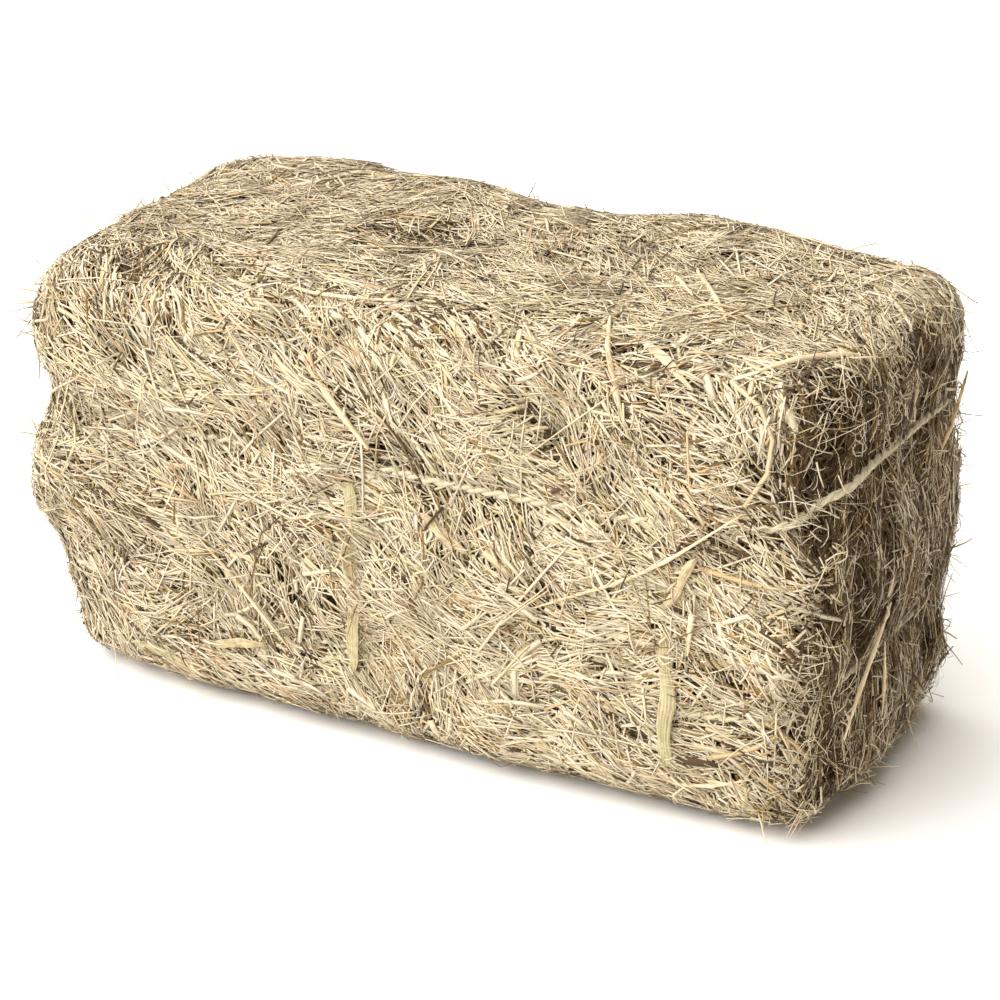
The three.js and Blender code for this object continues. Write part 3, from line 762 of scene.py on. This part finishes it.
def exposure(places, upper):
    """How much of the twine shows beside each place, from 0 where hay covers it to 1."""
    x, y = places[..., 0], places[..., 1]
    front, back, right, left = y < FRONT_LINE, y > BACK_LINE, x > END_LINE, x < -END_LINE
    shown = np.full(x.shape, 0.15)
    for start, share in UPPER_SHOWN if upper else LOWER_SHOWN:
        shown = np.where(front & (x > start), share, shown)
    shown = np.where(right & ~front, 1.0 if upper else 0.55, shown)
    return np.where(back | left, 0.80, shown)


def twine_dip(places):
    """How far the hay lies lower beside the stretches of twine that show, in metres."""
    local = on_block(places)
    dip = np.zeros(len(places))
    for upper, heights in ((True, UPPER_HEIGHTS), (False, LOWER_HEIGHTS)):
        away = (local[..., 2] - loop_height(heights, local)) / DIP_SPAN
        deep = np.where(np.abs(local[..., 0]) > END_LINE, END_DIP, FACE_DIP)
        dip = np.maximum(dip, deep * exposure(local, upper) * np.exp(-away ** 2))
    return np.where(np.abs(local[..., 2] - SIDE_MIDDLE) < SIDE_REACH, dip, 0.0)


def covered(spines, rng, high):
    """False for a stalk that would hide a stretch of twine that shows."""
    keep = np.ones(len(spines), bool)
    if high < 0:
        return keep
    local = on_block(spines)
    fine = (local[:, :-1] + local[:, 1:]) / 2
    local = np.concatenate([local, fine], axis=1)
    for upper, heights in ((True, UPPER_HEIGHTS), (False, LOWER_HEIGHTS)):
        near = np.abs(local[..., 2] - loop_height(heights, local)) < TWINE_CLEARANCE
        on_side = np.abs(local[..., 2] - SIDE_MIDDLE) < SIDE_REACH
        crossing = (near & on_side).any(axis=1)
        shown = exposure(local.mean(axis=1), upper)
        keep &= ~(crossing & (rng.random(len(spines)) < shown))
    return keep


class HAYBALE_OT_core(bpy.types.Operator):
    """Makes the matted hay under the stalks, coloured dark as painted shade, in place of the plain solid.
    """

    bl_idname = "hay_bale.core"
    bl_label = "Matted hay"

    def execute(self, context):
        bm = guide_surface()
        HAYBALE_OT_core.ground = Ground(bm)
        places = np.array([v.co[:] for v in bm.verts])
        inward = sizes().core_depth - sizes().tuft_rise * lumps(places, sizes().tuft_span, 5.0)
        inward += pockets(places) + hollows(places) + twine_dip(places) - formed(places, RISES)
        inward += GRAIN_RISE * lumps(places, GRAIN_SPAN, 2.0)
        for vertex, depth in zip(bm.verts, inward):
            vertex.co -= vertex.normal * depth
            vertex.co.z = max(vertex.co.z, CORE_FLOOR)
        for face in bm.faces:
            face.smooth = True
        piece = object_from_bmesh(bm, "hay_core", painted_shade_core_material())
        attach(piece, BODY)
        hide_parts(HAY_NODE)
        return {"FINISHED"}


class HAYBALE_OT_stalks(bpy.types.Operator):
    """Lays the stalks on every side of the bale, in layers from deep to long."""

    bl_idname = "hay_bale.stalks"
    bl_label = "Stalks on every side"

    def execute(self, context):
        ground = HAYBALE_OT_core.ground
        material = dry_grass_material()
        for number, side in enumerate(SIDES):
            rng = np.random.default_rng(sizes().seed + number)
            for depth, layers in (("inner", INNER_LAYERS), ("outer", OUTER_LAYERS)):
                name = f"{depth}_stalks_{side}"
                groups = [laid_stalks(ground, rng, side, kind) for kind in layers.values()]
                piece = object_from(joined_mesh(name, groups), name, material)
                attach(piece, BODY)
        return {"FINISHED"}


def kept_spines(spines, outs, floor, below=1.0, above=1.0):
    """The spines that clear the floor and stay near the solids' box, with the ways out of it."""
    low, high = (np.array(corner) for corner in CAD_BOX)
    inside = ((spines > low - below) & (spines < high + above)).all(axis=(1, 2))
    inside &= (spines[..., 2] > floor).all(axis=1)
    if outs.ndim == 2:
        outs = np.repeat(outs[:, None], spines.shape[1], 1)
    return spines[inside], outs[inside]


def stray_spines(ground, rng, count, rings, usual_length, steepest):
    """Stalks that stand out of the bale in clumps, most of them near its edges and corners."""
    faces = rng.choice(len(ground.areas), count * 12, p=ground.areas / ground.areas.sum())
    edge = 1 - np.abs(ground.normals[faces]).max(axis=1)
    clump = lumps(ground.centres[faces], CLUMP_SPAN, CLUMP_OFFSET) * CLUMP_CONTRAST + CLUMP_USUAL
    clump = np.clip(clump, CLUMP_LEAST, 1.0)
    upward = np.clip(ground.normals[faces][:, 2], 0, 1)
    faces = faces[rng.random(len(faces)) < (0.05 + 1.3 * edge) * clump * (1 - 0.4 * upward)][:count]
    places, normals = ground.centres[faces], ground.normals[faces]
    above = normals[:, 2] > -0.6
    places, normals = places[above], normals[above]
    count = len(places)
    heading = rng.normal(size=(count, 3))
    heading = unit(heading - np.sum(heading * normals, 1, keepdims=True) * normals)
    tilt = np.radians(rng.triangular(3, 9, steepest, count))[:, None]
    heading = heading * np.cos(tilt) + normals * np.sin(tilt)
    lengths = np.clip(rng.lognormal(np.log(usual_length), 0.5, count), *STRAY_LENGTHS)
    reach = sizes().stray_reach * rng.uniform(0.25, 1.0, count)
    lengths = np.minimum(lengths, reach / np.maximum(np.sin(tilt[:, 0]), 0.1) + 0.008)
    steps = np.linspace(0, 1, rings)
    bend = unit(rng.normal(size=(count, 3)))
    bent = rng.uniform(0.1, 0.7, count)
    root = places - heading * STRAY_ROOT
    grown = (lengths + STRAY_ROOT)[:, None, None]
    spines = (root[:, None] + heading[:, None] * (steps[None, :, None] * grown)
              + bend[:, None] * (steps[None, :, None] ** 2 * (lengths * bent)[:, None, None]))
    spines = spines + normals[:, None] * formed(places, RISES)[:, None, None]
    return kept_spines(spines, normals, STRAY_FLOOR, STRAY_MARGIN, STRAY_MARGIN)


def tuft_spines(ground, rng, rings):
    """Small tufts that stand out at a few places, each a fan of loose stalks."""
    roots = []
    for middle, count in TUFTS:
        middle = np.array(middle) / 1000 + np.array([*block_shift(), 0])
        roots.append(middle + rng.normal(0, TUFT_SPREAD, (count, 3)))
    places, normals = ground.drop(np.concatenate(roots))
    count = len(places)
    heading = unit(normals * 0.45 + rng.normal(size=(count, 3)) * 0.62)
    lengths = rng.uniform(*TUFT_LENGTHS, (count, 1, 1))
    steps = np.linspace(0, 1, rings)[None, :, None]
    bend = unit(rng.normal(size=(count, 3)))[:, None]
    spines = (places[:, None] - heading[:, None] * TUFT_ROOT
              + (heading[:, None] + bend * steps * 0.35) * steps * lengths)
    return kept_spines(spines, normals, STRAY_FLOOR, TUFT_MARGIN, STRAY_MARGIN)


def crossing_spines(ground, rng, rings):
    """Thin stalks that lie across the leaf blades and long stems, so that these lie in the hay."""
    roots, (usual, swath_turn) = [], SIDES["front"][2:4]
    for node in BLADE_NODES + STEM_NODES:
        middles, ways, widths = cad_rings(node)
        length = np.linalg.norm(np.diff(middles, axis=0), axis=1).sum()
        count = int(length / CROSSING_GAP)
        at = rng.uniform(0.02, 0.98, count)
        spine = along_rings(middles, np.sort(at))
        roots.append(spine + rng.normal(0, 0.35, (count, 1)) * widths.max() * ways[0])
    places, normals = ground.drop(np.concatenate(roots))
    count = len(places)
    heading = headings(places, normals, (1, 0, 0), usual, swath_turn, CROSSING_SCATTER, rng)
    lengths = np.clip(rng.lognormal(np.log(CROSSING_LENGTH), 0.35, count), *CROSSING_LENGTHS)[:, None, None]
    steps = np.linspace(-0.5, 0.5, rings)
    spines = places[:, None] + heading[:, None] * steps[None, :, None] * lengths
    down, outs = ground.drop(spines)
    lifts = CROSSING_LIFT * rng.uniform(0.75, 1.15, (count, 1)) * np.cos(steps * 2.4)[None, :]
    return kept_spines(down + outs * lifts[..., None], outs, THIN_FLOOR)


def curled_spines(ground, rng, count, rings):
    """Hair-thin curled fibres in the torn hollows and over the right end."""
    faces = rng.choice(len(ground.areas), count * 40, p=ground.areas / ground.areas.sum())
    torn = hollows(ground.centres[faces]) * 70
    right = np.where(ground.normals[faces][:, 0] > 0.6, 0.10, 0.012)
    faces = faces[rng.random(len(faces)) < torn + right][:count]
    places, normals = ground.centres[faces], ground.normals[faces]
    count = len(faces)
    first = unit(np.cross(normals, rng.normal(size=(count, 3))))
    second = np.cross(normals, first)
    steps = np.linspace(0, 1, rings)
    turning = rng.normal(0, CURL_TURN, (count, 1)) * steps + rng.uniform(-math.pi, math.pi, (count, 1))
    way = np.cos(turning)[..., None] * first[:, None] + np.sin(turning)[..., None] * second[:, None]
    length = rng.lognormal(np.log(CURL_LENGTH), 0.4, count)[:, None, None]
    run = np.cumsum(way, axis=1) * length / rings
    start = -hollows(places) * 0.8 - 0.002
    rise = start[:, None] + rng.uniform(0, CURL_RISE, (count, 1)) * np.sin(steps * math.pi)
    return kept_spines(places[:, None] + run + normals[:, None] * rise[..., None], normals, THIN_FLOOR)


class HAYBALE_OT_strays(bpy.types.Operator):
    """Makes the thin stalks that stand out all round, and the curled fibres of the hollows."""

    bl_idname = "hay_bale.strays"
    bl_label = "Stray stalks"

    def execute(self, context):
        rng = np.random.default_rng(sizes().seed + 50)
        ground = HAYBALE_OT_core.ground
        material = bpy.data.materials["dry_grass_stalks"]
        kinds = {name: stray_spines(ground, rng, *kind) for name, kind in STRAYS.items()}
        kinds["tufts"] = tuft_spines(ground, rng, 4)
        kinds["crossing_stalks"] = crossing_spines(ground, rng, 5)
        kinds["curled_fibres"] = curled_spines(ground, rng, CURLED_FIBRES, 5)
        for name, (spines, outs) in kinds.items():
            rings = spines.shape[1]
            widths = THIN_WIDTHS[name] * rng.lognormal(0, 0.3, (len(spines), 1))
            widths = widths * np.linspace(1.0, 0.6, rings)
            # Curled fibres take painted shade of the hollows they lie in
            torn = CURLED_PAINTED_SHADE if name == "curled_fibres" else 0.0
            columns = stalk_columns(len(spines), rng, THIN_DARK, torn)
            group = prisms(spines, outs, widths, widths * 0.7, columns, rng)
            piece = object_from(joined_mesh(name, [group]), name, material)
            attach(piece, BODY)
        return {"FINISHED"}


def cut_depth(outs):
    """How far the twine pulls the hay in: little on the faces, more on the ends and corners."""
    cornerness = 2 * np.abs(outs[:, 0] * outs[:, 1])
    return FACE_CUT + (END_CUT - FACE_CUT) * outs[:, 0] ** 2 + (CORNER_CUT - END_CUT) * cornerness


def loop_route(heights):
    """The twine's middle line, all the way round from the middle of the back."""
    x, y = BLOCK_LENGTH / 2 - BLOCK_EDGE, BLOCK_DEPTH / 2 - BLOCK_EDGE
    quarter = math.pi / 2
    outline, outs = [], []
    stops = ((0, y), (-x, y), (-x, -y), (x, -y), (x, y), (0, y))
    for turn, (start, end) in enumerate(zip(stops, stops[1:]), 1):
        length = math.dist(start, end)
        way = np.array([math.cos(turn * quarter), math.sin(turn * quarter)])
        for share in np.arange(0, 1, TWINE_STEP / length):
            outline.append(np.array(start) + (np.array(end) - np.array(start)) * share + way * BLOCK_EDGE)
            outs.append(way)
        if turn < 5:
            for share in np.arange(0, 1, TWINE_STEP / (quarter * BLOCK_EDGE)):
                angle = (turn + share) * quarter
                way = np.array([math.cos(angle), math.sin(angle)])
                outline.append(np.array(end) + way * BLOCK_EDGE)
                outs.append(way)
    outline, outs = np.array(outline), np.array(outs)
    heights_here = loop_height(heights, outline)
    places = outline - outs * cut_depth(outs)[:, None] + block_shift()
    return np.column_stack([places, heights_here]), np.column_stack([outs, np.zeros(len(outs))])


def smoothed(values, reach):
    """Values evened out along a route, with its two ends left where they are."""
    kernel = np.hanning(2 * reach + 3)[1:-1]
    kernel /= kernel.sum()
    padded = np.concatenate([values[:1].repeat(reach, 0), values, values[-1:].repeat(reach, 0)])
    evened = np.stack([np.convolve(padded[:, i], kernel, "same") for i in range(values.shape[1])], 1)
    return evened[reach:-reach]


def tube(points, radii, name):
    """A closed tube along points, with a radius at each, as a mesh."""
    curve = bpy.data.curves.new(name, "CURVE")
    curve.dimensions = "3D"
    curve.bevel_depth = 1.0
    curve.bevel_resolution = 1
    curve.use_fill_caps = True
    spline = curve.splines.new("POLY")
    spline.points.add(len(points) - 1)
    spline.points.foreach_set("co", np.column_stack([points, np.ones(len(points))]).ravel())
    spline.points.foreach_set("radius", np.broadcast_to(radii, len(points)).astype(float))
    maker = bpy.data.objects.new(name, curve)
    bpy.context.scene.collection.objects.link(maker)
    return applied(maker, name)


def ply_points(route, outs, turn):
    """One ply's middle line: it winds round the twine's route."""
    along = unit(np.gradient(route, axis=0))
    across = unit(np.cross(along, outs))
    up = np.cross(across, along)
    gone = np.concatenate([[0], np.cumsum(np.linalg.norm(np.diff(route, axis=0), axis=1))])
    angle = 2 * math.pi * gone / sizes().twine_lay + turn
    radius = sizes().twine_radius * PLY_OFFSET
    return route + radius * (np.cos(angle)[:, None] * across + np.sin(angle)[:, None] * up)


def knot_route(centre):
    """The turns of the hitch on the back where the twine's two ends meet."""
    share = np.linspace(0, 1, 110)
    turns = share * 2 * math.pi
    loops = np.column_stack([0.0085 * np.sin(turns) + 0.0115 * np.sin(2 * turns),
                             0.0050 * np.sin(3 * turns) + 0.0065,
                             0.0065 * np.cos(turns) - 0.0075 * np.cos(2 * turns)])
    return centre + loops


def tail_route(centre, side):
    """A cut end of twine that runs out of the hitch to one side and droops."""
    share = np.linspace(0, 1, 26)
    return centre + np.column_stack([side * (0.006 + 0.040 * share), 0.006 + 0.005 * np.sin(3 * share),
                                     -0.004 - 0.020 * share ** 2])


def fuzz(route, outs, rng):
    """Loose fibres that stand off the twine."""
    length = np.linalg.norm(np.diff(route, axis=0), axis=1).sum()
    count = int(length * FIBRES_PER_METRE)
    picked = rng.integers(1, len(route) - 1, count)
    along = unit(np.gradient(route, axis=0))[picked]
    away = unit(rng.normal(size=(count, 3)) + outs[picked] * 0.6)
    away = unit(away - np.sum(away * along, 1, keepdims=True) * along)
    heading = unit(along * rng.choice([-1, 1], (count, 1)) * rng.uniform(0.6, 2.2, (count, 1)) + away)
    lengths = sizes().fuzz_length * rng.lognormal(0, 0.5, count)
    steps = np.linspace(0, 1, 3)
    root = route[picked] + away * sizes().twine_radius * 0.7
    bend = away * (lengths * rng.normal(0, 0.35, count))[:, None]
    spines = (root[:, None] + heading[:, None] * (steps[None, :, None] * lengths[:, None, None])
              + bend[:, None] * steps[None, :, None] ** 2)
    spines[..., 2] = np.maximum(spines[..., 2], 0.001)
    widths = np.full((count, 3), FIBRE_WIDTH) * np.array([1.0, 0.8, 0.4])
    return prisms(spines, np.repeat(away[:, None], 3, 1), widths, widths * 0.8, np.full(count, 0.3), rng)


class HAYBALE_OT_twine(bpy.types.Operator):
    """Lays both loops of two-ply sisal twine with their knots on the back, in place of the solids."""

    bl_idname = "hay_bale.twine"
    bl_label = "Sisal twine"

    def execute(self, context):
        material = sisal_material()
        rng = np.random.default_rng(sizes().seed + 70)
        for node, heights in zip(TWINE_NODES, (UPPER_HEIGHTS, LOWER_HEIGHTS)):
            route, outs = loop_route(heights)
            route = smoothed(route, 9)
            wander = np.column_stack([np.zeros(len(route))] * 2 + [lumps(route, 0.09, 1.0) * TWINE_WANDER])
            hidden = 1 - exposure(on_block(route), heights is UPPER_HEIGHTS)
            hidden[:6] = hidden[-6:] = 0
            dive = smoothed((hidden * TWINE_DIVE)[:, None], 8)
            route = route + wander - outs * dive
            centre = route[0].copy()
            strands = [(route, outs)]
            knot = knot_route(centre)
            strands.append((knot, np.repeat([[0.0, 1.0, 0.0]], len(knot), 0)))
            for side in (-1, 1):
                tail = tail_route(centre, side)
                strands.append((tail, np.repeat([[0.0, 1.0, 0.0]], len(tail), 0)))
            bm = bmesh.new()
            for strand, ways in strands:
                for turn in (0.0, math.pi):
                    points = ply_points(strand, ways, turn)
                    gone = np.arange(len(points))
                    swell = 1 + 0.10 * np.sin(gone * 0.37 + turn) * np.sin(gone * 0.113)
                    mesh = tube(points, sizes().twine_radius * PLY_RADIUS * swell, "ply")
                    bm.from_mesh(mesh)
                    bpy.data.meshes.remove(mesh)
            hairs = joined_mesh("fibres", [fuzz(strand, ways, rng) for strand, ways in strands])
            bm.from_mesh(hairs)
            bpy.data.meshes.remove(hairs)
            for face in bm.faces:
                face.smooth = True
            piece = object_from_bmesh(bm, node + "_laid", material)
            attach(piece, BODY)
            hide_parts(node)
        return {"FINISHED"}


def cad_rings(node):
    """The rings of a bent solid in order along it: their middles, the ways across, and widths."""
    places = cad_vertices(node)
    centre = places.mean(axis=0)
    main = np.linalg.svd(places - centre, full_matrices=False)[2][0]
    order = np.argsort((places - centre) @ main)
    places = places[order]
    gone = (places - centre) @ main
    breaks = np.nonzero(np.diff(gone) > 0.008)[0] + 1
    rings = np.split(places, breaks)
    middles = np.array([ring.mean(axis=0) for ring in rings])
    ways, widths = [], []
    for ring in rings:
        spread = np.linalg.svd(ring - ring.mean(axis=0), full_matrices=False)
        way = spread[2][0]
        if ways and way @ ways[-1] < 0:
            way = -way
        ways.append(way)
        reach = (ring - ring.mean(axis=0)) @ way
        widths.append(reach.max() - reach.min())
    return middles, np.array(ways), np.array(widths)


def along_rings(values, shares):
    """Values of a few rings, read smoothly at many shares of the length."""
    at = np.linspace(0, 1, len(values))
    flat = values.reshape(len(values), -1)
    read = np.stack([np.interp(shares, at, column) for column in flat.T], 1)
    reach = max(1, len(shares) // (2 * len(values)))
    read = smoothed(read, reach)
    return read.reshape(len(shares), *values.shape[1:])


def leaf_piece(node, rng, material, round_form):
    """A dried leaf blade or stem where its solid lies, made from a grid of faces."""
    middles, ways, widths = cad_rings(node)
    ground = HAYBALE_OT_core.ground
    length = np.linalg.norm(np.diff(middles, axis=0), axis=1).sum()
    rows = max(14, int(length / LEAF_STEP))
    columns = 10 if round_form else 4 * LEAF_RIBS
    bm = bmesh.new()
    layer = bm.loops.layers.uv.new("lengthwise")
    bmesh.ops.create_grid(bm, x_segments=columns, y_segments=rows, size=0.5)
    for face in bm.faces:
        for loop in face.loops:
            loop[layer].uv = (loop.vert.co.x + 0.5, loop.vert.co.y + 0.5)
    shares = np.linspace(0, 1, rows + 1)
    spine = along_rings(middles, shares)
    outs = ground.drop(spine)[1]
    outs = unit(smoothed(outs, 4))
    tangents = unit(np.gradient(spine, axis=0))
    across = unit(np.cross(tangents, outs))
    up = np.cross(across, tangents)
    width = np.interp(shares, np.linspace(0, 1, len(widths)), widths)
    full = widths.max()
    phase = rng.uniform(0, math.tau)
    twist = LEAF_TWIST * np.sin(shares * rng.uniform(3, 7) + phase)
    if round_form:
        width = width * STEM_THINNING
    else:
        head, foot = LEAF_TAPER.get(node, PLAIN_TAPER)
        blunt = np.clip(np.minimum(shares / head, (1 - shares) / foot), 0.06, 1.0) ** 0.7
        narrowing = FAN_NARROWING if node == "fan_leaf" else PLAIN_NARROWING
        from_top = shares if spine[0][2] > spine[-1][2] else 1 - shares
        width = full * LEAF_SPREAD.get(node, 1.0) * blunt * (1 - narrowing * from_top)
    run = shares * length
    ragged = 1 + LEAF_RAGGED * np.sin(run * 410 + phase) * np.sin(run * 170)
    ragged *= 1 + LEAF_RAGGED * np.sin(run * 95 + 2 * phase)
    sway = full * LEAF_SWAY * np.sin(run * 70 + phase) * np.sin(shares * math.pi)
    crown = rng.uniform(-0.05, 0.22)
    for vertex in bm.verts:
        x, row = vertex.co.x, int(round((vertex.co.y + 0.5) * rows))
        half = width[row] * ragged[row]
        if round_form:
            angle = x * 2 * math.pi
            joint = 1 + JOINT_SWELL * math.exp(-((shares[row] - JOINT_PLACE) / 0.02) ** 2)
            side, lift = math.sin(angle) * half * 0.5 * joint, math.cos(angle) * half * 0.5 * joint
        else:
            side = x * half + sway[row]
            ribs = LEAF_RIB * math.cos(x * math.tau * LEAF_RIBS)
            lift = full * crown * (1 - 4 * x * x) + ribs + x * half * twist[row] - LEAF_BED
        vertex.co = Vector(spine[row] + across[row] * side + up[row] * lift)
    if round_form:
        bmesh.ops.remove_doubles(bm, verts=bm.verts, dist=1e-6)
        bmesh.ops.holes_fill(bm, edges=[e for e in bm.edges if e.is_boundary], sides=0)
    else:
        bmesh.ops.solidify(bm, geom=bm.faces[:], thickness=LEAF_THICKNESS)
        # The faces of the rim come in another order each run, so all are put in one order
        bm.verts.index_update()
        count = len(bm.verts)
        bm.faces.sort(key=lambda face: min(v.index for v in face.verts) * count
                      + max(v.index for v in face.verts))
    bmesh.ops.recalc_face_normals(bm, faces=bm.faces)
    for vertex in bm.verts:
        vertex.co.z = max(vertex.co.z, 0.001)
    for face in bm.faces:
        face.smooth = True
    piece = object_from_bmesh(bm, node + "_dried", material)
    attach(piece, BODY)
    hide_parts(node)
    return piece


class HAYBALE_OT_stems(bpy.types.Operator):
    """Makes each long stem that lies loose on the hay, in place of its solid."""

    bl_idname = "hay_bale.stems"
    bl_label = "Long stems"

    def execute(self, context):
        palette = colours()
        pale = leaf_material("dry_grass_stem", palette.pale_straw, palette.tan_straw, 3.0)
        dark = leaf_material("weathered_grass_stem", palette.tan_straw, palette.dark_straw, 3.0)
        rng = np.random.default_rng(sizes().seed + 90)
        for node in STEM_NODES:
            piece = leaf_piece(node, rng, dark if node == "stem_end_dark" else pale, True)
        return {"FINISHED"}


class HAYBALE_OT_blades(bpy.types.Operator):
    """Makes each dried leaf blade that lies loose on the hay, in place of its solid."""

    bl_idname = "hay_bale.blades"
    bl_label = "Leaf blades"

    def execute(self, context):
        palette = colours()
        rng = np.random.default_rng(sizes().seed + 110)
        for node in BLADE_NODES:
            named = LEAF_COLOURS.get(node, ("pale_straw", "straw"))
            base, vein = (getattr(palette, name) for name in named)
            piece = leaf_piece(node, rng, leaf_material("dry_" + node, base, vein, 9.0), False)
        return {"FINISHED"}


class HAYBALE_OT_stage(bpy.types.Operator):
    """Makes the plain pale floor, the soft studio light and the camera."""

    bl_idname = "hay_bale.stage"
    bl_label = "Floor, light and camera"

    def execute(self, context):
        scene = context.scene
        scene.view_settings.view_transform = "Standard"
        bm = bmesh.new()
        bmesh.ops.create_grid(bm, x_segments=1, y_segments=1, size=FLOOR_REACH)
        material, tree = new_material("pale_floor")
        finish_material(tree, opaque(colours().floor), 0.95)
        floor = object_from_bmesh(bm, "floor", material)
        for name, energy, spread, towards in SOFT_LIGHTS:
            lamp = bpy.data.lights.new(name, "SUN")
            lamp.energy = energy
            lamp.angle = math.radians(spread)
            lamp.color = LAMP_COLOUR
            light = bpy.data.objects.new(name, lamp)
            light.rotation_mode = "QUATERNION"
            light.rotation_quaternion = Vector(towards).to_track_quat("-Z", "Y")
            scene.collection.objects.link(light)
        world = bpy.data.worlds.new("studio")
        world.use_nodes = True
        world.node_tree.nodes["Background"].inputs["Color"].default_value = (*WORLD_COLOUR, 1.0)
        world.node_tree.nodes["Background"].inputs["Strength"].default_value = WORLD_STRENGTH
        scene.world = world
        lens = bpy.data.cameras.new("camera")
        lens.lens = LENS
        lens.sensor_width = 36.0
        camera = bpy.data.objects.new("camera", lens)
        back = Vector((math.sin(AZIMUTH) * math.cos(ELEVATION), -math.cos(AZIMUTH) * math.cos(ELEVATION),
                       math.sin(ELEVATION)))
        right = (-back).cross(Vector((0, 0, 1))).normalized()
        up = right.cross(-back)
        turned_right = right * math.cos(ROLL) + up * math.sin(ROLL)
        turned_up = up * math.cos(ROLL) - right * math.sin(ROLL)
        aim = Vector((*block_shift(), AIM_HEIGHT))
        place = aim + back * DISTANCE + turned_right * AIM_RIGHT + turned_up * AIM_UP
        turn = Matrix((turned_right, turned_up, back)).transposed()
        camera.location = place
        camera.rotation_mode = "QUATERNION"
        camera.rotation_quaternion = turn.to_quaternion()
        scene.collection.objects.link(camera)
        scene.camera = camera
        return {"FINISHED"}


class HAYBALE_PT_panel(bpy.types.Panel):
    """Lists the parts of the bale in the 3D view's sidebar."""

    bl_idname = "HAYBALE_PT_panel"
    bl_label = "Hay Bale"
    bl_space_type = "VIEW_3D"
    bl_region_type = "UI"
    bl_category = "Hay Bale"

    def draw(self, context):
        for operator in OPERATORS:
            self.layout.operator(operator.bl_idname)
        for group in (context.scene.hay_bale_sizes, context.scene.hay_bale_colours):
            column = self.layout.column()
            for name in group.__annotations__:
                column.prop(group, name)


OPERATORS = (HAYBALE_OT_core, HAYBALE_OT_stalks, HAYBALE_OT_strays, HAYBALE_OT_twine,
             HAYBALE_OT_stems, HAYBALE_OT_blades, HAYBALE_OT_stage)
CLASSES = (HAYBALE_PG_sizes, HAYBALE_PG_colours, *OPERATORS, HAYBALE_PT_panel)


def register():
    for made in CLASSES:
        bpy.utils.register_class(made)
    bpy.types.Scene.hay_bale_sizes = bpy.props.PointerProperty(type=HAYBALE_PG_sizes)
    bpy.types.Scene.hay_bale_colours = bpy.props.PointerProperty(type=HAYBALE_PG_colours)


def unregister():
    del bpy.types.Scene.hay_bale_colours
    del bpy.types.Scene.hay_bale_sizes
    for made in reversed(CLASSES):
        bpy.utils.unregister_class(made)


def main():
    register()
    for operator in OPERATORS:
        group, name = operator.bl_idname.split(".")
        getattr(getattr(bpy.ops, group), name)()
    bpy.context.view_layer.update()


if __name__ == "__main__":
    main()
